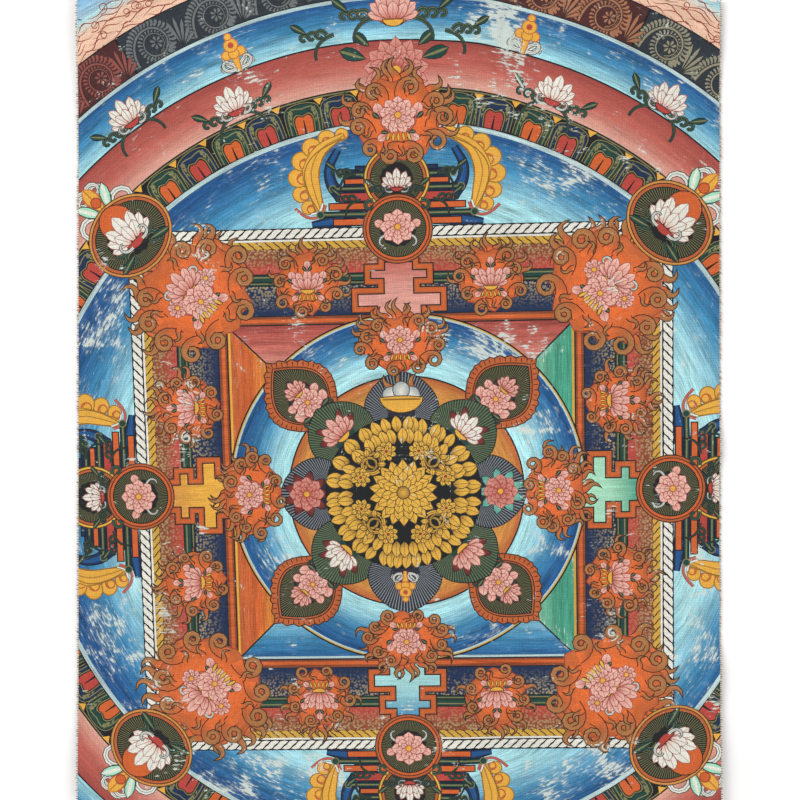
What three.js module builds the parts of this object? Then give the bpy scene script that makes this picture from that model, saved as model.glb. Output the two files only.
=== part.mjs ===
// A cut length of painted scroll cloth: primed cotton canvas, lying face up on a flat surface.
// Millimetres, +Z up, +Y towards the picture's top edge. The origin is under the middle of the cloth.
// The cloth is one sheet of even thickness. It lies flat, apart from a few old folds that still stand a
// little proud, and edges that don't quite lie down.
import * as THREE from "three";

// Driving sizes of the cut length.
const CLOTH_WIDTH = 190;
const CLOTH_LENGTH = 238;
const CLOTH_THICKNESS = 1;
const GRID_STEP = 4.8;
const CANVAS_TAN = 0xb9a184;

// Old folds. Each runs straight from one point to another as a soft ridge. Its crest is as high as the two
// heights say at its ends, and it fades out to nothing at half_width on each side.
const FOLDS = [
  { name: "top_crease", from: [22, 128], to: [35, 26], height_from: 3.4, height_to: 0, half_width: 15 },
  { name: "foot_crease", from: [15, -128], to: [24, -62], height_from: 2.4, height_to: 0, half_width: 12 },
  { name: "side_crease", from: [104, -14], to: [38, -8], height_from: 1.5, height_to: 0, half_width: 10 },
  { name: "edge_crease", from: [104, -79], to: [74, -82], height_from: 1.8, height_to: 0, half_width: 11 },
];

// Corners that curl up. The lift grows from nothing at reach from the corner to height at the corner.
const CURLS = [
  { name: "top_left", corner: [-1, 1], reach: 46, height: 3.2 },
  { name: "top_right", corner: [1, 1], reach: 34, height: 1.8 },
  { name: "bottom_left", corner: [-1, -1], reach: 38, height: 2.2 },
  { name: "bottom_right", corner: [1, -1], reach: 50, height: 3.8 },
];

// A bell that is 1 in the middle, and level and 0 from t = 1 on.
function bell(t) {
  return t >= 1 ? 0 : (1 + Math.cos(Math.PI * t)) / 2;
}

function foldLift(fold, x, y) {
  const along = new THREE.Vector2(fold.to[0] - fold.from[0], fold.to[1] - fold.from[1]);
  const point = new THREE.Vector2(x - fold.from[0], y - fold.from[1]);
  const length = along.length();
  along.normalize();
  const way = point.dot(along) / length;
  const share = THREE.MathUtils.clamp(way, 0, 1);
  const crest = THREE.MathUtils.lerp(fold.height_from, fold.height_to, THREE.MathUtils.smoothstep(share, 0, 1));
  const aside = Math.abs(point.cross(along));
  return crest * bell(aside / fold.half_width);
}

function curlLift(curl, x, y) {
  const corner = new THREE.Vector2((curl.corner[0] * CLOTH_WIDTH) / 2, (curl.corner[1] * CLOTH_LENGTH) / 2);
  const away = corner.distanceTo(new THREE.Vector2(x, y)) / curl.reach;
  return curl.height * bell(away);
}

// How far the cloth's underside stands above the surface that it lies on.
function lift(x, y) {
  const folds = FOLDS.reduce((sum, fold) => sum + foldLift(fold, x, y), 0);
  const curls = CURLS.reduce((sum, curl) => sum + curlLift(curl, x, y), 0);
  return folds + curls;
}

function clothSheet() {
  const across = Math.round(CLOTH_WIDTH / GRID_STEP);
  const along = Math.round(CLOTH_LENGTH / GRID_STEP);
  const geometry = new THREE.BoxGeometry(CLOTH_WIDTH, CLOTH_LENGTH, CLOTH_THICKNESS, across, along, 1);
  const position = geometry.getAttribute("position");
  for (let i = 0; i < position.count; i += 1) {
    const x = position.getX(i);
    const y = position.getY(i);
    position.setZ(i, position.getZ(i) + CLOTH_THICKNESS / 2 + lift(x, y));
  }
  geometry.computeVertexNormals();
  return geometry;
}

const canvas = new THREE.MeshStandardMaterial({ color: CANVAS_TAN, roughness: 0.9, metalness: 0 });

const cloth = new THREE.Mesh(clothSheet(), canvas);
cloth.name = "painted_canvas";

const scrollPainting = new THREE.Group();
scrollPainting.add(cloth);

export default scrollPainting;
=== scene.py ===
"""Painted scroll canvas: a cut length of primed cotton, painted with a mandala, lying face up.

The picture is laid out on a true plan in millimetres. Every mark of paint is a plain outline on that plan,
and later coats cover earlier ones. The plan is then set on the cloth a little out of square, as the painter
left it, and all the coats are cut into one skin of triangles on the cloth's folds.
"""

import math

import bpy
import numpy as np
from bpy.props import FloatProperty, FloatVectorProperty, IntProperty, PointerProperty
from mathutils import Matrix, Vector, geometry


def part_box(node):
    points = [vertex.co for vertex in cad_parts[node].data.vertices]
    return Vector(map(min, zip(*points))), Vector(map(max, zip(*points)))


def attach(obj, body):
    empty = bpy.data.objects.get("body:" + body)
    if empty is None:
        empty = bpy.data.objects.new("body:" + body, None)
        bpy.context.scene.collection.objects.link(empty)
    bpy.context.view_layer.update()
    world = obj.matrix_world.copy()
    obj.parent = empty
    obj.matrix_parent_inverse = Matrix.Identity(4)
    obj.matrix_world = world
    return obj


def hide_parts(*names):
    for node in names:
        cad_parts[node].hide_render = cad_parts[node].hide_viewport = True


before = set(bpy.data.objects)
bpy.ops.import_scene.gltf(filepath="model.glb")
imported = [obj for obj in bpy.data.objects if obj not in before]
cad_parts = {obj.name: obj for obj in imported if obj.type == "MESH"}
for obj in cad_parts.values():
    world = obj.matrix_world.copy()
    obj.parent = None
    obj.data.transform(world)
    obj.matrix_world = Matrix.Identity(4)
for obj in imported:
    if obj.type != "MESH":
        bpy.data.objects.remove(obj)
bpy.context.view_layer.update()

bl_info = {
    "name": "Painted scroll canvas",
    "version": (1, 0, 0),
    "blender": (4, 5, 0),
    "location": "3D View > Sidebar > Scroll canvas",
    "description": "Makes a cut length of painted scroll canvas around its fixed frame",
    "category": "Object",
}

CLOTH_NODE = "painted_canvas"
LOW, HIGH = (Vector(corner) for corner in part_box(CLOTH_NODE))
MM = 0.001
SEED = 7


# Colours and sizes that a user would change

def linear(code):
    """The linear colour of a 0xRRGGBB code."""
    parts = [((code >> shift) & 255) / 255 for shift in (16, 8, 0)]
    return tuple(p / 12.92 if p <= 0.04045 else ((p + 0.055) / 1.055) ** 2.4 for p in parts)


def pigment(name, code, note):
    """A colour property for one paint."""
    return FloatVectorProperty(name=name, description=note, subtype="COLOR", size=3, min=0, max=1,
                               default=linear(code))


def size(name, value, note):
    """A length property, in metres."""
    return FloatProperty(name=name, description=note, default=value, unit="LENGTH", subtype="DISTANCE")


class CanvasPaints(bpy.types.PropertyGroup):
    """The paints on the palette."""
    ink: pigment("Ink", 0x1d1b20, "Outlines, drawn last round every form")
    rust_ink: pigment("Rust ink", 0x8a3a30, "Fine lines inside pink and white forms")
    chalk: pigment("Chalk white", 0xdedcd0, "White rope, ribbons and white flowers")
    grey_line: pigment("Grey line", 0x8d979a, "The thin line along the white ribbons")
    sea_deep: pigment("Deep blue", 0x225184, "Outer edge of the blue fields")
    sea_mid: pigment("Middle blue", 0x3f86ae, "Middle of the blue fields")
    sea_pale: pigment("Pale blue", 0xa6d9de, "Inner edge of the blue fields")
    sea_rim: pigment("Scuffed blue", 0xaec4c4, "Worn rim of the blue fields")
    navy: pigment("Navy", 0x20304f, "Dark band, panels and slabs")
    rose_deep: pigment("Deep rose", 0x9a4740, "Outer edge of the rose ring")
    rose_mid: pigment("Middle rose", 0xbb6256, "Middle of the rose ring")
    rose_pale: pigment("Pale rose", 0xd6a291, "Inner edge of the rose ring")
    blush: pigment("Blush", 0xd4978a, "Pink flowers")
    blush_pale: pigment("Pale blush", 0xeebfb1, "Petal tips")
    brick: pigment("Brick", 0x86472f, "Outer side of the wall band")
    vermilion: pigment("Vermilion", 0xb2453c, "Red windows and slabs")
    maroon: pigment("Maroon", 0x4c2a29, "Scroll ring, every other stretch")
    slate: pigment("Slate", 0x2f353c, "Scroll ring, the stretches between")
    orange: pigment("Orange", 0xc96030, "Orange windows, slabs and gate frames")
    flame: pigment("Flame orange", 0xe06c34, "Middle of the flames")
    amber: pigment("Amber", 0xb35e35, "Frame round the four quarters")
    tan: pigment("Tan", 0xa66f42, "Cloudy outer flames and scrolls")
    fern_grey: pigment("Fern grey", 0x8f8a74, "Fern scrolls on the slate stretch to the right")
    fern_tan: pigment("Fern tan", 0xa56f52, "Fern scrolls on the maroon stretch to the right")
    fern_slate: pigment("Fern slate", 0x6c7070, "Fern scrolls on the slate stretch to the left")
    fern_red: pigment("Fern red", 0x8f4f48, "Fern scrolls on the maroon stretch to the left")
    ochre: pigment("Ochre", 0xc98a45, "Disc under the petals")
    rope_yellow: pigment("Rope yellow", 0xc99d42, "Yellow rope and fine lines")
    marigold: pigment("Marigold", 0xdfa643, "Plumes, west gate and yellow rope")
    gold: pigment("Gold", 0xdcab45, "Gold forms in the middle")
    gold_deep: pigment("Deep gold", 0x8c6428, "Shaded gold")
    khaki: pigment("Khaki", 0x7d7a50, "Fine lines on dark green and navy")
    straw: pigment("Straw", 0xb39f74, "Fine stipple on the wall band")
    pine: pigment("Pine", 0x21433c, "Dark green panels, leaves and slabs")
    plum: pigment("Plum", 0x2c2a35, "Dark petals at the four sides")
    soot: pigment("Soot", 0x1e2123, "Ground of the middle medallion")
    jade: pigment("Jade", 0x45957b, "East quarter, outer edge")
    jade_pale: pigment("Pale jade", 0xa3d6b8, "East quarter, inner edge")
    aqua: pigment("Aqua", 0x9fd0d0, "South gate")
    peach: pigment("Peach", 0xe6bda2, "Ring outside the scrolls")
    lagoon: pigment("Lagoon blue", 0x5fa6da, "Water in the corners")
    gesso: pigment("Chalk ground", 0xcbd4cc, "Ground that shows where paint has gone")
    canvas: pigment("Bare canvas", 0xb9a184, "Unpainted cotton on the back and the cut edges")


class CanvasSizes(bpy.types.PropertyGroup):
    """Sizes of the cloth itself."""
    thickness: size("Thickness", 0.001, "Thickness of the primed and painted cloth")
    thread_pitch: size("Thread pitch", 0.00068, "Distance from one thread to the next")
    thread_end: size("Thread ends", 0.0007, "How far cut threads stand out of the edge")
    pucker: size("Pucker", 0.00016, "Height of the slight pucker all over the cloth")
    grid: size("Grid", 0.003, "Spacing of the points that carry the folds")


class PictureSizes(bpy.types.PropertyGroup):
    """Sizes of the painted picture, on the true plan."""
    square_half: size("Square", 0.080, "Half of the square, out to its white rope")
    frame_half: size("Frame", 0.0540, "Half of the orange frame round the four quarters")
    disc: size("Blue disc", 0.0535, "Radius of the blue disc in the middle")
    inner_disc: size("Ochre disc", 0.0352, "Radius of the ochre disc under the petals")
    field: size("Blue field", 0.1109, "Radius of the blue field, inside the panel ring")
    panels: size("Panel ring", 0.1208, "Outer radius of the panel ring")
    rose: size("Rose ring", 0.1342, "Outer radius of the rose ring")
    sky: size("Blue ring", 0.1471, "Outer radius of the blue ring")
    scrolls: size("Scroll ring", 0.1588, "Outer radius of the scroll ring")
    rope_pitch: size("Rope pitch", 0.0028, "Length of rope from one strand to the next")
    panel_count: IntProperty(name="Panels", description="Panels in the whole ring", default=64, min=8)


def paints():
    return bpy.context.scene.canvas_paints


def cloth():
    return bpy.context.scene.canvas_sizes


def picture(name):
    """One of the picture's sizes, in millimetres."""
    return getattr(bpy.context.scene.picture_sizes, name) / MM


# The cloth's folds, in millimetres, the same as the solid's

FOLDS = (  # from, to, height at from, half width
    ((22, 128), (35, 26), 3.4, 15),
    ((15, -128), (24, -62), 2.4, 12),
    ((104, -14), (38, -8), 1.5, 10),
    ((104, -79), (74, -82), 1.8, 11),
)
CURLS = (  # corner, reach, height
    ((-1, 1), 46, 3.2),
    ((1, 1), 34, 1.8),
    ((-1, -1), 38, 2.2),
    ((1, -1), 50, 3.8),
)
CREASES = (  # the course of a sharp crease, its depth, its half width
    (((26.5, 119), (27.5, 104), (31, 88), (30, 66), (33, 40)), 0.42, 1.5),
    (((33, 119), (30.5, 108), (33, 96)), 0.30, 1.3),
    (((22.5, -74), (21, -88), (18.5, -104), (16, -119)), 0.34, 1.4),
    (((36, -8.5), (48, -9.4), (60, -10)), 0.16, 1.0),
)
RUBS = (  # where the paint is worn: middle, half width, half height, strength
    ((28, 106), 12, 22, 0.95),
    ((28, 15), 14, 8, 0.95),
    ((36, 24), 10, 6, 0.75),
    ((57, 69), 19, 10, 0.62),
    ((74, 99), 18, 16, 0.45),
    ((-88, 22), 9, 24, 0.42),
    ((-84, -72), 12, 16, 0.48),
    ((-36, -112), 30, 8, 0.62),
    ((86, -54), 9, 34, 0.50),
    ((56, -110), 26, 9, 0.55),
    ((-56, 74), 24, 12, 0.30),
    ((-70, 104), 20, 12, 0.30),
    ((22, -76), 2.2, 7, 1.00),
    ((46, -9), 13, 1.3, 0.80),
    ((-30, -49), 18, 2.4, 0.85),
    ((44, -44), 10, 4, 0.45),
    ((0, 0), 400, 400, 0.05),
)


def bell(t):
    """1 in the middle, and level and 0 from t = 1 on."""
    return np.where(t >= 1, 0.0, (1 + np.cos(np.pi * np.minimum(t, 1))) / 2)


def fold_lift(fold, points):
    start, stop, height, half_width = fold
    along = np.subtract(stop, start)
    length = np.hypot(*along)
    along = along / length
    away = points - np.asarray(start)
    share = np.clip(away @ along / length, 0, 1)
    crest = height * (1 - share * share * (3 - 2 * share))
    aside = np.abs(away[:, 0] * along[1] - away[:, 1] * along[0])
    return crest * bell(aside / half_width)


def curl_lift(curl_row, points):
    side, reach, height = curl_row
    corner = np.array((side[0] * HIGH.x, side[1] * HIGH.y)) / MM
    return height * bell(np.hypot(*(points - corner).T) / reach)


def distance_to_path(points, path):
    """Shortest distance from each point to a path of straight stretches."""
    best = np.full(len(points), 1e9)
    for start, stop in zip(path[:-1], path[1:]):
        along = np.subtract(stop, start).astype(float)
        away = points - np.asarray(start)
        share = np.clip(away @ along / (along @ along), 0, 1)
        best = np.minimum(best, np.hypot(*(away - share[:, None] * along).T))
    return best


def underside(points):
    """How far the cloth's underside stands above the floor, in millimetres, at points on the cloth."""
    x, y = points.T
    height = sum(fold_lift(fold, points) for fold in FOLDS)
    height = height + sum(curl_lift(row, points) for row in CURLS)
    wave = np.sin(x * 0.171 + 1.3 * np.sin(y * 0.093)) * np.sin(y * 0.143 + 0.8 * np.sin(x * 0.121 + 2))
    return height + cloth().pucker / MM * (1 + wave)


def top_relief(points):
    """The sharp creases, which show on the painted side only as soft troughs."""
    depth = np.zeros(len(points))
    for course, deep, half_width in CREASES:
        depth = depth + deep * bell(distance_to_path(points, course) / half_width)
    return -depth


# From the true plan to the cloth: the square was painted a little out of true

PLAN_HALF = 80.0
PLAN_TO_CLOTH = np.array((
    (79.2, -1.7, 1.3),       # half width of the square, lean of its uprights, its middle
    (1.44, 77.9, -27.5),     # rise of its rows to the right, half height, its middle
    (-0.0089, -0.0198, 1.0)  # how much larger it grows to the right and upwards
))


def reproject(matrix, points):
    wide = np.column_stack((points, np.ones(len(points)))) @ matrix.T
    return wide[:, :2] / wide[:, 2:]


def plan_to_cloth(points):
    return reproject(PLAN_TO_CLOTH, np.asarray(points, float) / PLAN_HALF)


def cloth_to_plan(points):
    return reproject(np.linalg.inv(PLAN_TO_CLOTH), points) * PLAN_HALF


# Paths and outlines

def polar(radius, degrees):
    return np.array((radius * math.cos(math.radians(degrees)), radius * math.sin(math.radians(degrees))))


def arc(radius, start, stop, count, middle=(0, 0), squash=1.0):
    """Points along an arc, in degrees, anticlockwise from +X."""
    turn = np.radians(np.linspace(start, stop, count))
    return np.column_stack((middle[0] + radius * np.cos(turn), middle[1] + radius * squash * np.sin(turn)))


def ring(radius, count=48, middle=(0, 0), squash=1.0):
    return arc(radius, 0, 360, count + 1, middle, squash)[:-1]


def box(left, low, right, high):
    return np.array(((left, low), (right, low), (right, high), (left, high)), float)


def smooth(points, spans):
    """A round curve through the points, with so many spans from each to the next."""
    points = np.asarray(points, float)
    padded = np.vstack((2 * points[0] - points[1], points, 2 * points[-1] - points[-2]))
    share = np.linspace(0, 1, spans, endpoint=False)[:, None]
    pieces = []
    for a, b, c, d in zip(padded, padded[1:], padded[2:], padded[3:]):
        pieces.append(0.5 * (2 * b + (c - a) * share + (2 * a - 5 * b + 4 * c - d) * share ** 2
                             + (3 * b - a - 3 * c + d) * share ** 3))
    return np.vstack(pieces + [points[-1:]])


def walk(length, headings):
    """A path that steps on through headings, in degrees."""
    aim = np.radians((headings[1:] + headings[:-1]) / 2)
    steps = np.column_stack((np.cos(aim), np.sin(aim))) * length / len(aim)
    return np.vstack(((0, 0), np.cumsum(steps, axis=0)))


def hook(length, turn, heading=90.0, late=1.6, count=11):
    """A path that sets off straight and then curls up, through turn degrees in all."""
    return walk(length, heading + turn * np.linspace(0, 1, count) ** late)


def lick(length, sway, heading=90.0, count=7):
    """A path that sways one way and then the other, like a flame's tip."""
    return walk(length, heading + sway * np.sin(np.linspace(0, 5.4, count)))


def widths_along(path, shares, widths):
    """Widths at a path's points, which run from one to the next between the given shares of it."""
    return np.interp(np.linspace(0, 1, len(path)), shares, widths)


def normals(path, closed):
    """The way to the left of each point of a path, longer at a corner so that a line keeps its width."""
    ahead = np.roll(path, -1, axis=0) - path
    back = path - np.roll(path, 1, axis=0)
    if not closed:
        ahead[-1] = back[-1]
        back[0] = ahead[0]
    ahead = ahead / np.maximum(np.hypot(*ahead.T), 1e-9)[:, None]
    back = back / np.maximum(np.hypot(*back.T), 1e-9)[:, None]
    along = ahead + back
    reach = np.maximum(np.hypot(*along.T), 1e-9)
    mitre = np.minimum(2 / np.maximum(reach, 0.9), 2)
    return np.column_stack((-along[:, 1], along[:, 0])) * (mitre / reach)[:, None]


def anticlockwise(outline):
    x, y = np.asarray(outline, float).T
    return outline if x @ np.roll(y, -1) > y @ np.roll(x, -1) else outline[::-1]


class Spot:
    """Where a motif goes on the plan, how far it is turned, how large it is, and whether it is mirrored."""

    def __init__(self, x, y, turn=0.0, size=1.0, mirror=False):
        self.middle = np.array((x, y), float)
        self.turn = turn
        self.size = size
        self.mirror = mirror

    def put(self, points):
        points = np.array(points, float).reshape(-1, 2) * self.size
        if self.mirror:
            points[:, 0] *= -1
        c, s = math.cos(math.radians(self.turn)), math.sin(math.radians(self.turn))
        return points @ np.array(((c, s), (-s, c))) + self.middle

    def at(self, x, y, turn=0.0, size=1.0, mirror=False):
        """A spot given in this one's own measures."""
        x, y = self.put((x, y))[0]
        turn = -turn if self.mirror else turn
        return Spot(x, y, self.turn + turn, self.size * size, self.mirror != mirror)

    def halves(self):
        """This spot, and its mirror image."""
        return self.at(0, 0), self.at(0, 0, mirror=True)


def facing_out(radius, degrees, size=1.0, mirror=False):
    """A spot at a distance from the picture's middle, with its own up pointing away from it."""
    return Spot(*polar(radius, degrees), degrees - 90, size, mirror)


SIDES = (0, 90, 180, 270)        # turns of the square's four sides, from its top side
CORNERS = (45, 135, 225, 315)    # turns of its four diagonals, from straight up


# Coats of paint

def from_middle(inner, outer, middle=(0, 0)):
    """0 at the inner radius and 1 at the outer one."""
    return lambda p: np.clip((np.hypot(*(p - np.asarray(middle)).T) - inner) / (outer - inner), 0, 1)


def between(start, stop):
    """0 at one point and 1 at the other."""
    along = np.subtract(stop, start).astype(float)
    return lambda p: np.clip((p - np.asarray(start)) @ along / (along @ along), 0, 1)


def round_strokes(middle=(0, 0)):
    """Brush strokes that run round a middle. The join is straight below it."""
    def strokes(p):
        x, y = (p - np.asarray(middle)).T
        radius = np.hypot(x, y)
        return np.column_stack((np.arctan2(x, y) * radius.mean(), radius))
    return strokes


def straight_strokes(degrees):
    """Brush strokes that run one way."""
    c, s = math.cos(math.radians(degrees)), math.sin(math.radians(degrees))
    return lambda p: p @ np.array(((c, -s), (s, c)))


INK_WIDTH = 0.34


class Wash:
    """A coat's colour, which may run from paint to paint, and the lines that are drawn on it.

    way says how far the paints have run at a point. Without it they run along the stroke, or from a disc's
    middle to its rim. A line runs inside the stroke's edge, a vein along its middle, a core of another
    paint fills that share of its width, and rays of the core's paint point inwards from a disc's rim.
    """

    def __init__(self, *stops, way=None, strokes=None, streak=0.2, rub=0.12, gilt=0.0, dots=None, edge="ink",
                 line=INK_WIDTH, core="ink", core_share=0.0, vein=0.0, rays=0.0, ray_count=0):
        self.stops = [stop if isinstance(stop, tuple) else (number / max(1, len(stops) - 1), stop)
                      for number, stop in enumerate(stops)]
        self.way = way
        self.strokes = strokes
        self.handled = (streak, rub, gilt)
        self.dots = dots
        self.edge = (edge, line)
        self.core = (core, core_share)
        self.fine = (vein, rays, ray_count)

    def colours(self, points, run):
        shares = [share for share, _ in self.stops]
        tones = np.array([tuple(getattr(paints(), name)) for _, name in self.stops])
        run = self.way(points) if self.way else run
        return np.column_stack([np.interp(run, shares, tones[:, i]) for i in range(3)])


FAR = 1000.0                                            # half width of a coat whose edge isn't drawn
PLAIN = (0.0, 0.0, 1.0, 0.0, FAR, FAR, 0.0, 0.0)        # the measures of such a coat
SHARED = {}


def wash(*stops, **handling):
    """The one wash of these paints and this handling."""
    key = (stops, tuple(sorted(handling.items())))
    if key not in SHARED:
        SHARED[key] = Wash(*stops, **handling)
    return SHARED[key]


class Painting:
    """All the coats, in the order in which they are laid.

    Each coat is an outline, its wash and its measures: the two ends of its middle line, its half width at
    both, and how far the paints have run at both. A disc's coats have -1 for these two.
    """

    def __init__(self):
        self.points = []
        self.count = 0
        self.coats = []

    def add(self, points):
        """Stores points of the plan, and gives back their numbers."""
        self.points.append(np.asarray(points, float))
        first = self.count
        self.count += len(points)
        return np.arange(first, self.count)

    def cover(self, numbers, tone, measures=PLAIN):
        self.coats.append((np.asarray(numbers), wash(tone) if isinstance(tone, str) else tone, measures))

    def fill(self, outline, tone):
        self.cover(self.add(outline), tone)

    def edged(self, outline, tone):
        """A filled outline with straight sides, and an ink line just inside it."""
        outline = anticlockwise(np.asarray(outline, float))
        numbers = self.add(outline)
        self.cover(numbers, tone)
        inner = self.add(outline + normals(outline, True) * INK_WIDTH)
        for i in range(len(outline)):
            self.cover((numbers[i], inner[i], inner[i - 1], numbers[i - 1]), "ink")

    def stroke(self, path, widths, tone):
        """A brush stroke of even or changing width along a path."""
        path = np.asarray(path, float)
        half = np.asarray(widths) * np.ones(len(path)) / 2
        side = normals(path, False) * half[:, None]
        left, right = self.add(path + side), self.add(path - side)
        steps = len(path) - 1
        for i in range(steps):
            j = i + 1
            measures = (*path[i], *path[j], half[i], half[j], i / steps, j / steps)
            self.cover((left[i], right[i], right[j], left[j]), tone, measures)

    def curve(self, spot, points, widths, tone, spans=3):
        """A brush stroke along a round curve through points, which are in the spot's own measures."""
        path = spot.put(smooth(points, spans))
        if np.ndim(widths):
            widths = widths_along(path, *widths)
        self.stroke(path, widths, tone)

    def disc(self, outline, tone, middle=None):
        """A round form, painted from its middle to its rim."""
        outline = np.asarray(outline, float)
        middle = outline.mean(axis=0) if middle is None else np.asarray(middle, float)
        numbers = self.add(np.vstack((outline, middle)))
        for i in range(len(outline)):
            a, b = outline[i - 1], outline[i]
            along = (b - a) / np.hypot(*(b - a))
            reach = abs((a - middle) @ np.array((along[1], -along[0])))
            measures = (*middle, *(middle + along), reach, reach, -1.0, -1.0)
            self.cover((numbers[i - 1 if i else -2], numbers[i], numbers[-1]), tone, measures)

    def petal(self, spot, length, width, tone, point=0.35, waist=1.3, count=6):
        """A petal or leaf from its root at the spot to its tip, straight up."""
        share = np.linspace(0, 1, count)
        widths = width * np.sin(np.pi * share ** waist) ** (1 - point)
        widths[-1] = 0
        path = spot.put(np.column_stack((np.zeros(count), share * length)))
        self.stroke(path, widths * spot.size, tone)


# Marks that repeat along a path, set out by geometry nodes and then laid as coats

def group_sockets(tree, way, *rows):
    """A node group's inputs or outputs. Each row is a name, a kind and perhaps a first value."""
    for name, kind, *value in rows:
        socket = tree.interface.new_socket(name, in_out=way, socket_type="NodeSocket" + kind)
        if value:
            socket.default_value = value[0]


def new_nodes(tree, *kinds):
    return [tree.nodes.new(kind) for kind in kinds]


def shown(sockets, name):
    """The socket of a name that is in use, of the several that a node may keep for other kinds of value."""
    return next(socket for socket in sockets if socket.name == name and socket.enabled)


def join_nodes(tree, *links):
    """Links (node, output) to (node, input), each pair given in a row."""
    for source, output, target, entry in links:
        tree.links.new(shown(source.outputs, output), shown(target.inputs, entry))


def set_input(modifier, name, value):
    """Sets a geometry nodes modifier's input by the identifier of its socket."""
    for item in modifier.node_group.interface.items_tree:
        if item.name == name and item.in_out == "INPUT":
            modifier[item.identifier] = value
            return
    raise KeyError(name)


def path_copies(tree, entry, leave, output):
    """Sets copies along a group's path, with X along it and Y to its left, and gives them a finish.

    It gives back two nodes: the one that takes what is copied, and the one that says how it is turned.
    """
    curve, spaced, tangent, aim, copies, real, finish = new_nodes(
        tree, "GeometryNodeMeshToCurve", "GeometryNodeResampleCurve", "GeometryNodeInputTangent",
        "FunctionNodeAlignRotationToVector", "GeometryNodeInstanceOnPoints", "GeometryNodeRealizeInstances",
        "GeometryNodeSetMaterial")
    spaced.mode = "LENGTH"
    aim.axis = "X"
    aim.pivot_axis = "Z"
    join_nodes(
        tree,
        (entry, "Path", curve, "Mesh"),
        (curve, "Curve", spaced, "Curve"),
        (entry, "Pitch", spaced, "Length"),
        (spaced, "Curve", copies, "Points"),
        (tangent, "Tangent", aim, "Vector"),
        (copies, "Instances", real, "Geometry"),
        (real, "Geometry", finish, "Geometry"),
        (entry, "Finish", finish, "Material"),
        (finish, "Geometry", leave, output),
    )
    return copies, aim


def marks_tree():
    """Sets copies of one mark along a path."""
    name = "marks_along_path"
    if name in bpy.data.node_groups:
        return bpy.data.node_groups[name]
    tree = bpy.data.node_groups.new(name, "GeometryNodeTree")
    group_sockets(tree, "INPUT", ("Path", "Geometry"), ("Mark", "Object"), ("Finish", "Material"),
                  ("Pitch", "Float", 1.0))
    group_sockets(tree, "OUTPUT", ("Marks", "Geometry"))
    entry, leave, mark = new_nodes(tree, "NodeGroupInput", "NodeGroupOutput", "GeometryNodeObjectInfo")
    copies, aim = path_copies(tree, entry, leave, "Marks")
    join_nodes(
        tree,
        (entry, "Mark", mark, "Object"),
        (mark, "Geometry", copies, "Instance"),
        (aim, "Rotation", copies, "Rotation"),
    )
    return tree


def new_object(name, data):
    thing = bpy.data.objects.new(name, data)
    bpy.context.scene.collection.objects.link(thing)
    return thing


def flat_object(name, points, edges=(), faces=()):
    """A flat mesh at the height of the plan."""
    mesh = bpy.data.meshes.new(name)
    mesh.from_pydata([(float(x), float(y), 0.0) for x, y in points], list(edges), list(faces))
    return new_object(name, mesh)


def evaluated_mesh(thing):
    """The mesh that a thing's modifiers make. The thing itself is then removed."""
    bpy.context.view_layer.update()
    evaluated = thing.evaluated_get(bpy.context.evaluated_depsgraph_get())
    mesh = bpy.data.meshes.new_from_object(evaluated)
    bpy.data.objects.remove(thing)
    return mesh


def marks_along(art, path, pitch, mark, closed=False):
    """Lays a mark again and again along a path. mark is rows of (outline, paint), the lowest coat first."""
    path = np.asarray(path, float)
    steps = [(i, i + 1) for i in range(len(path) - 1)]
    guide = flat_object("guide", path, edges=steps + ([(len(path) - 1, 0)] if closed else []))
    corners = [np.asarray(outline, float) for outline, _ in mark]
    starts = np.cumsum([0] + [len(c) for c in corners])
    faces = [tuple(range(a, b)) for a, b in zip(starts[:-1], starts[1:])]
    stamp = flat_object("stamp", np.vstack(corners), faces=faces)
    coat = stamp.data.attributes.new("coat", "INT", "FACE")
    coat.data.foreach_set("value", list(range(len(mark))))
    modifier = guide.modifiers.new("marks", "NODES")
    modifier.node_group = marks_tree()
    set_input(modifier, "Mark", stamp)
    set_input(modifier, "Pitch", float(pitch))
    made = evaluated_mesh(guide)
    places = np.empty(len(made.vertices) * 3)
    made.vertices.foreach_get("co", places)
    numbers = art.add(places.reshape(-1, 3)[:, :2])
    which = [item.value for item in made.attributes["coat"].data]
    for face, row in zip(made.polygons, which):
        art.cover(numbers[list(face.vertices)], mark[row][1])
    bpy.data.meshes.remove(made)
    bpy.data.objects.remove(stamp)


# Motifs

ROSE_PETAL = ("rose_mid", "blush", "blush_pale")
WHITE_PETAL = ("rose_pale", "chalk", "chalk")
PEONY_PETAL = ("rose_deep", "rose_mid", "blush")


def veined(tones):
    """The wash of a flower's petals."""
    return wash(*tones, edge="rust_ink", line=0.26, vein=0.07)


def petal_ring(art, spot, petals, reach, width, tone, shift=0.0, **form):
    """A ring of petals. shift turns it by a share of one petal."""
    for k in range(petals):
        art.petal(spot.at(0, 0, (k + shift) * 360 / petals), reach, width, tone, **form)


def bloom(art, spot, rows, tones=ROSE_PETAL):
    """An open flower seen from above. rows gives the count, reach and width of each ring of petals."""
    for number, (count, reach, width) in enumerate(rows):
        petal_ring(art, spot, count, reach, width, veined(tones), 0.5 * (number % 2))
    art.disc(spot.put(ring(rows[-1][1] * 0.4, 9)), wash("marigold", edge="rust_ink", line=0.2))


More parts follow.
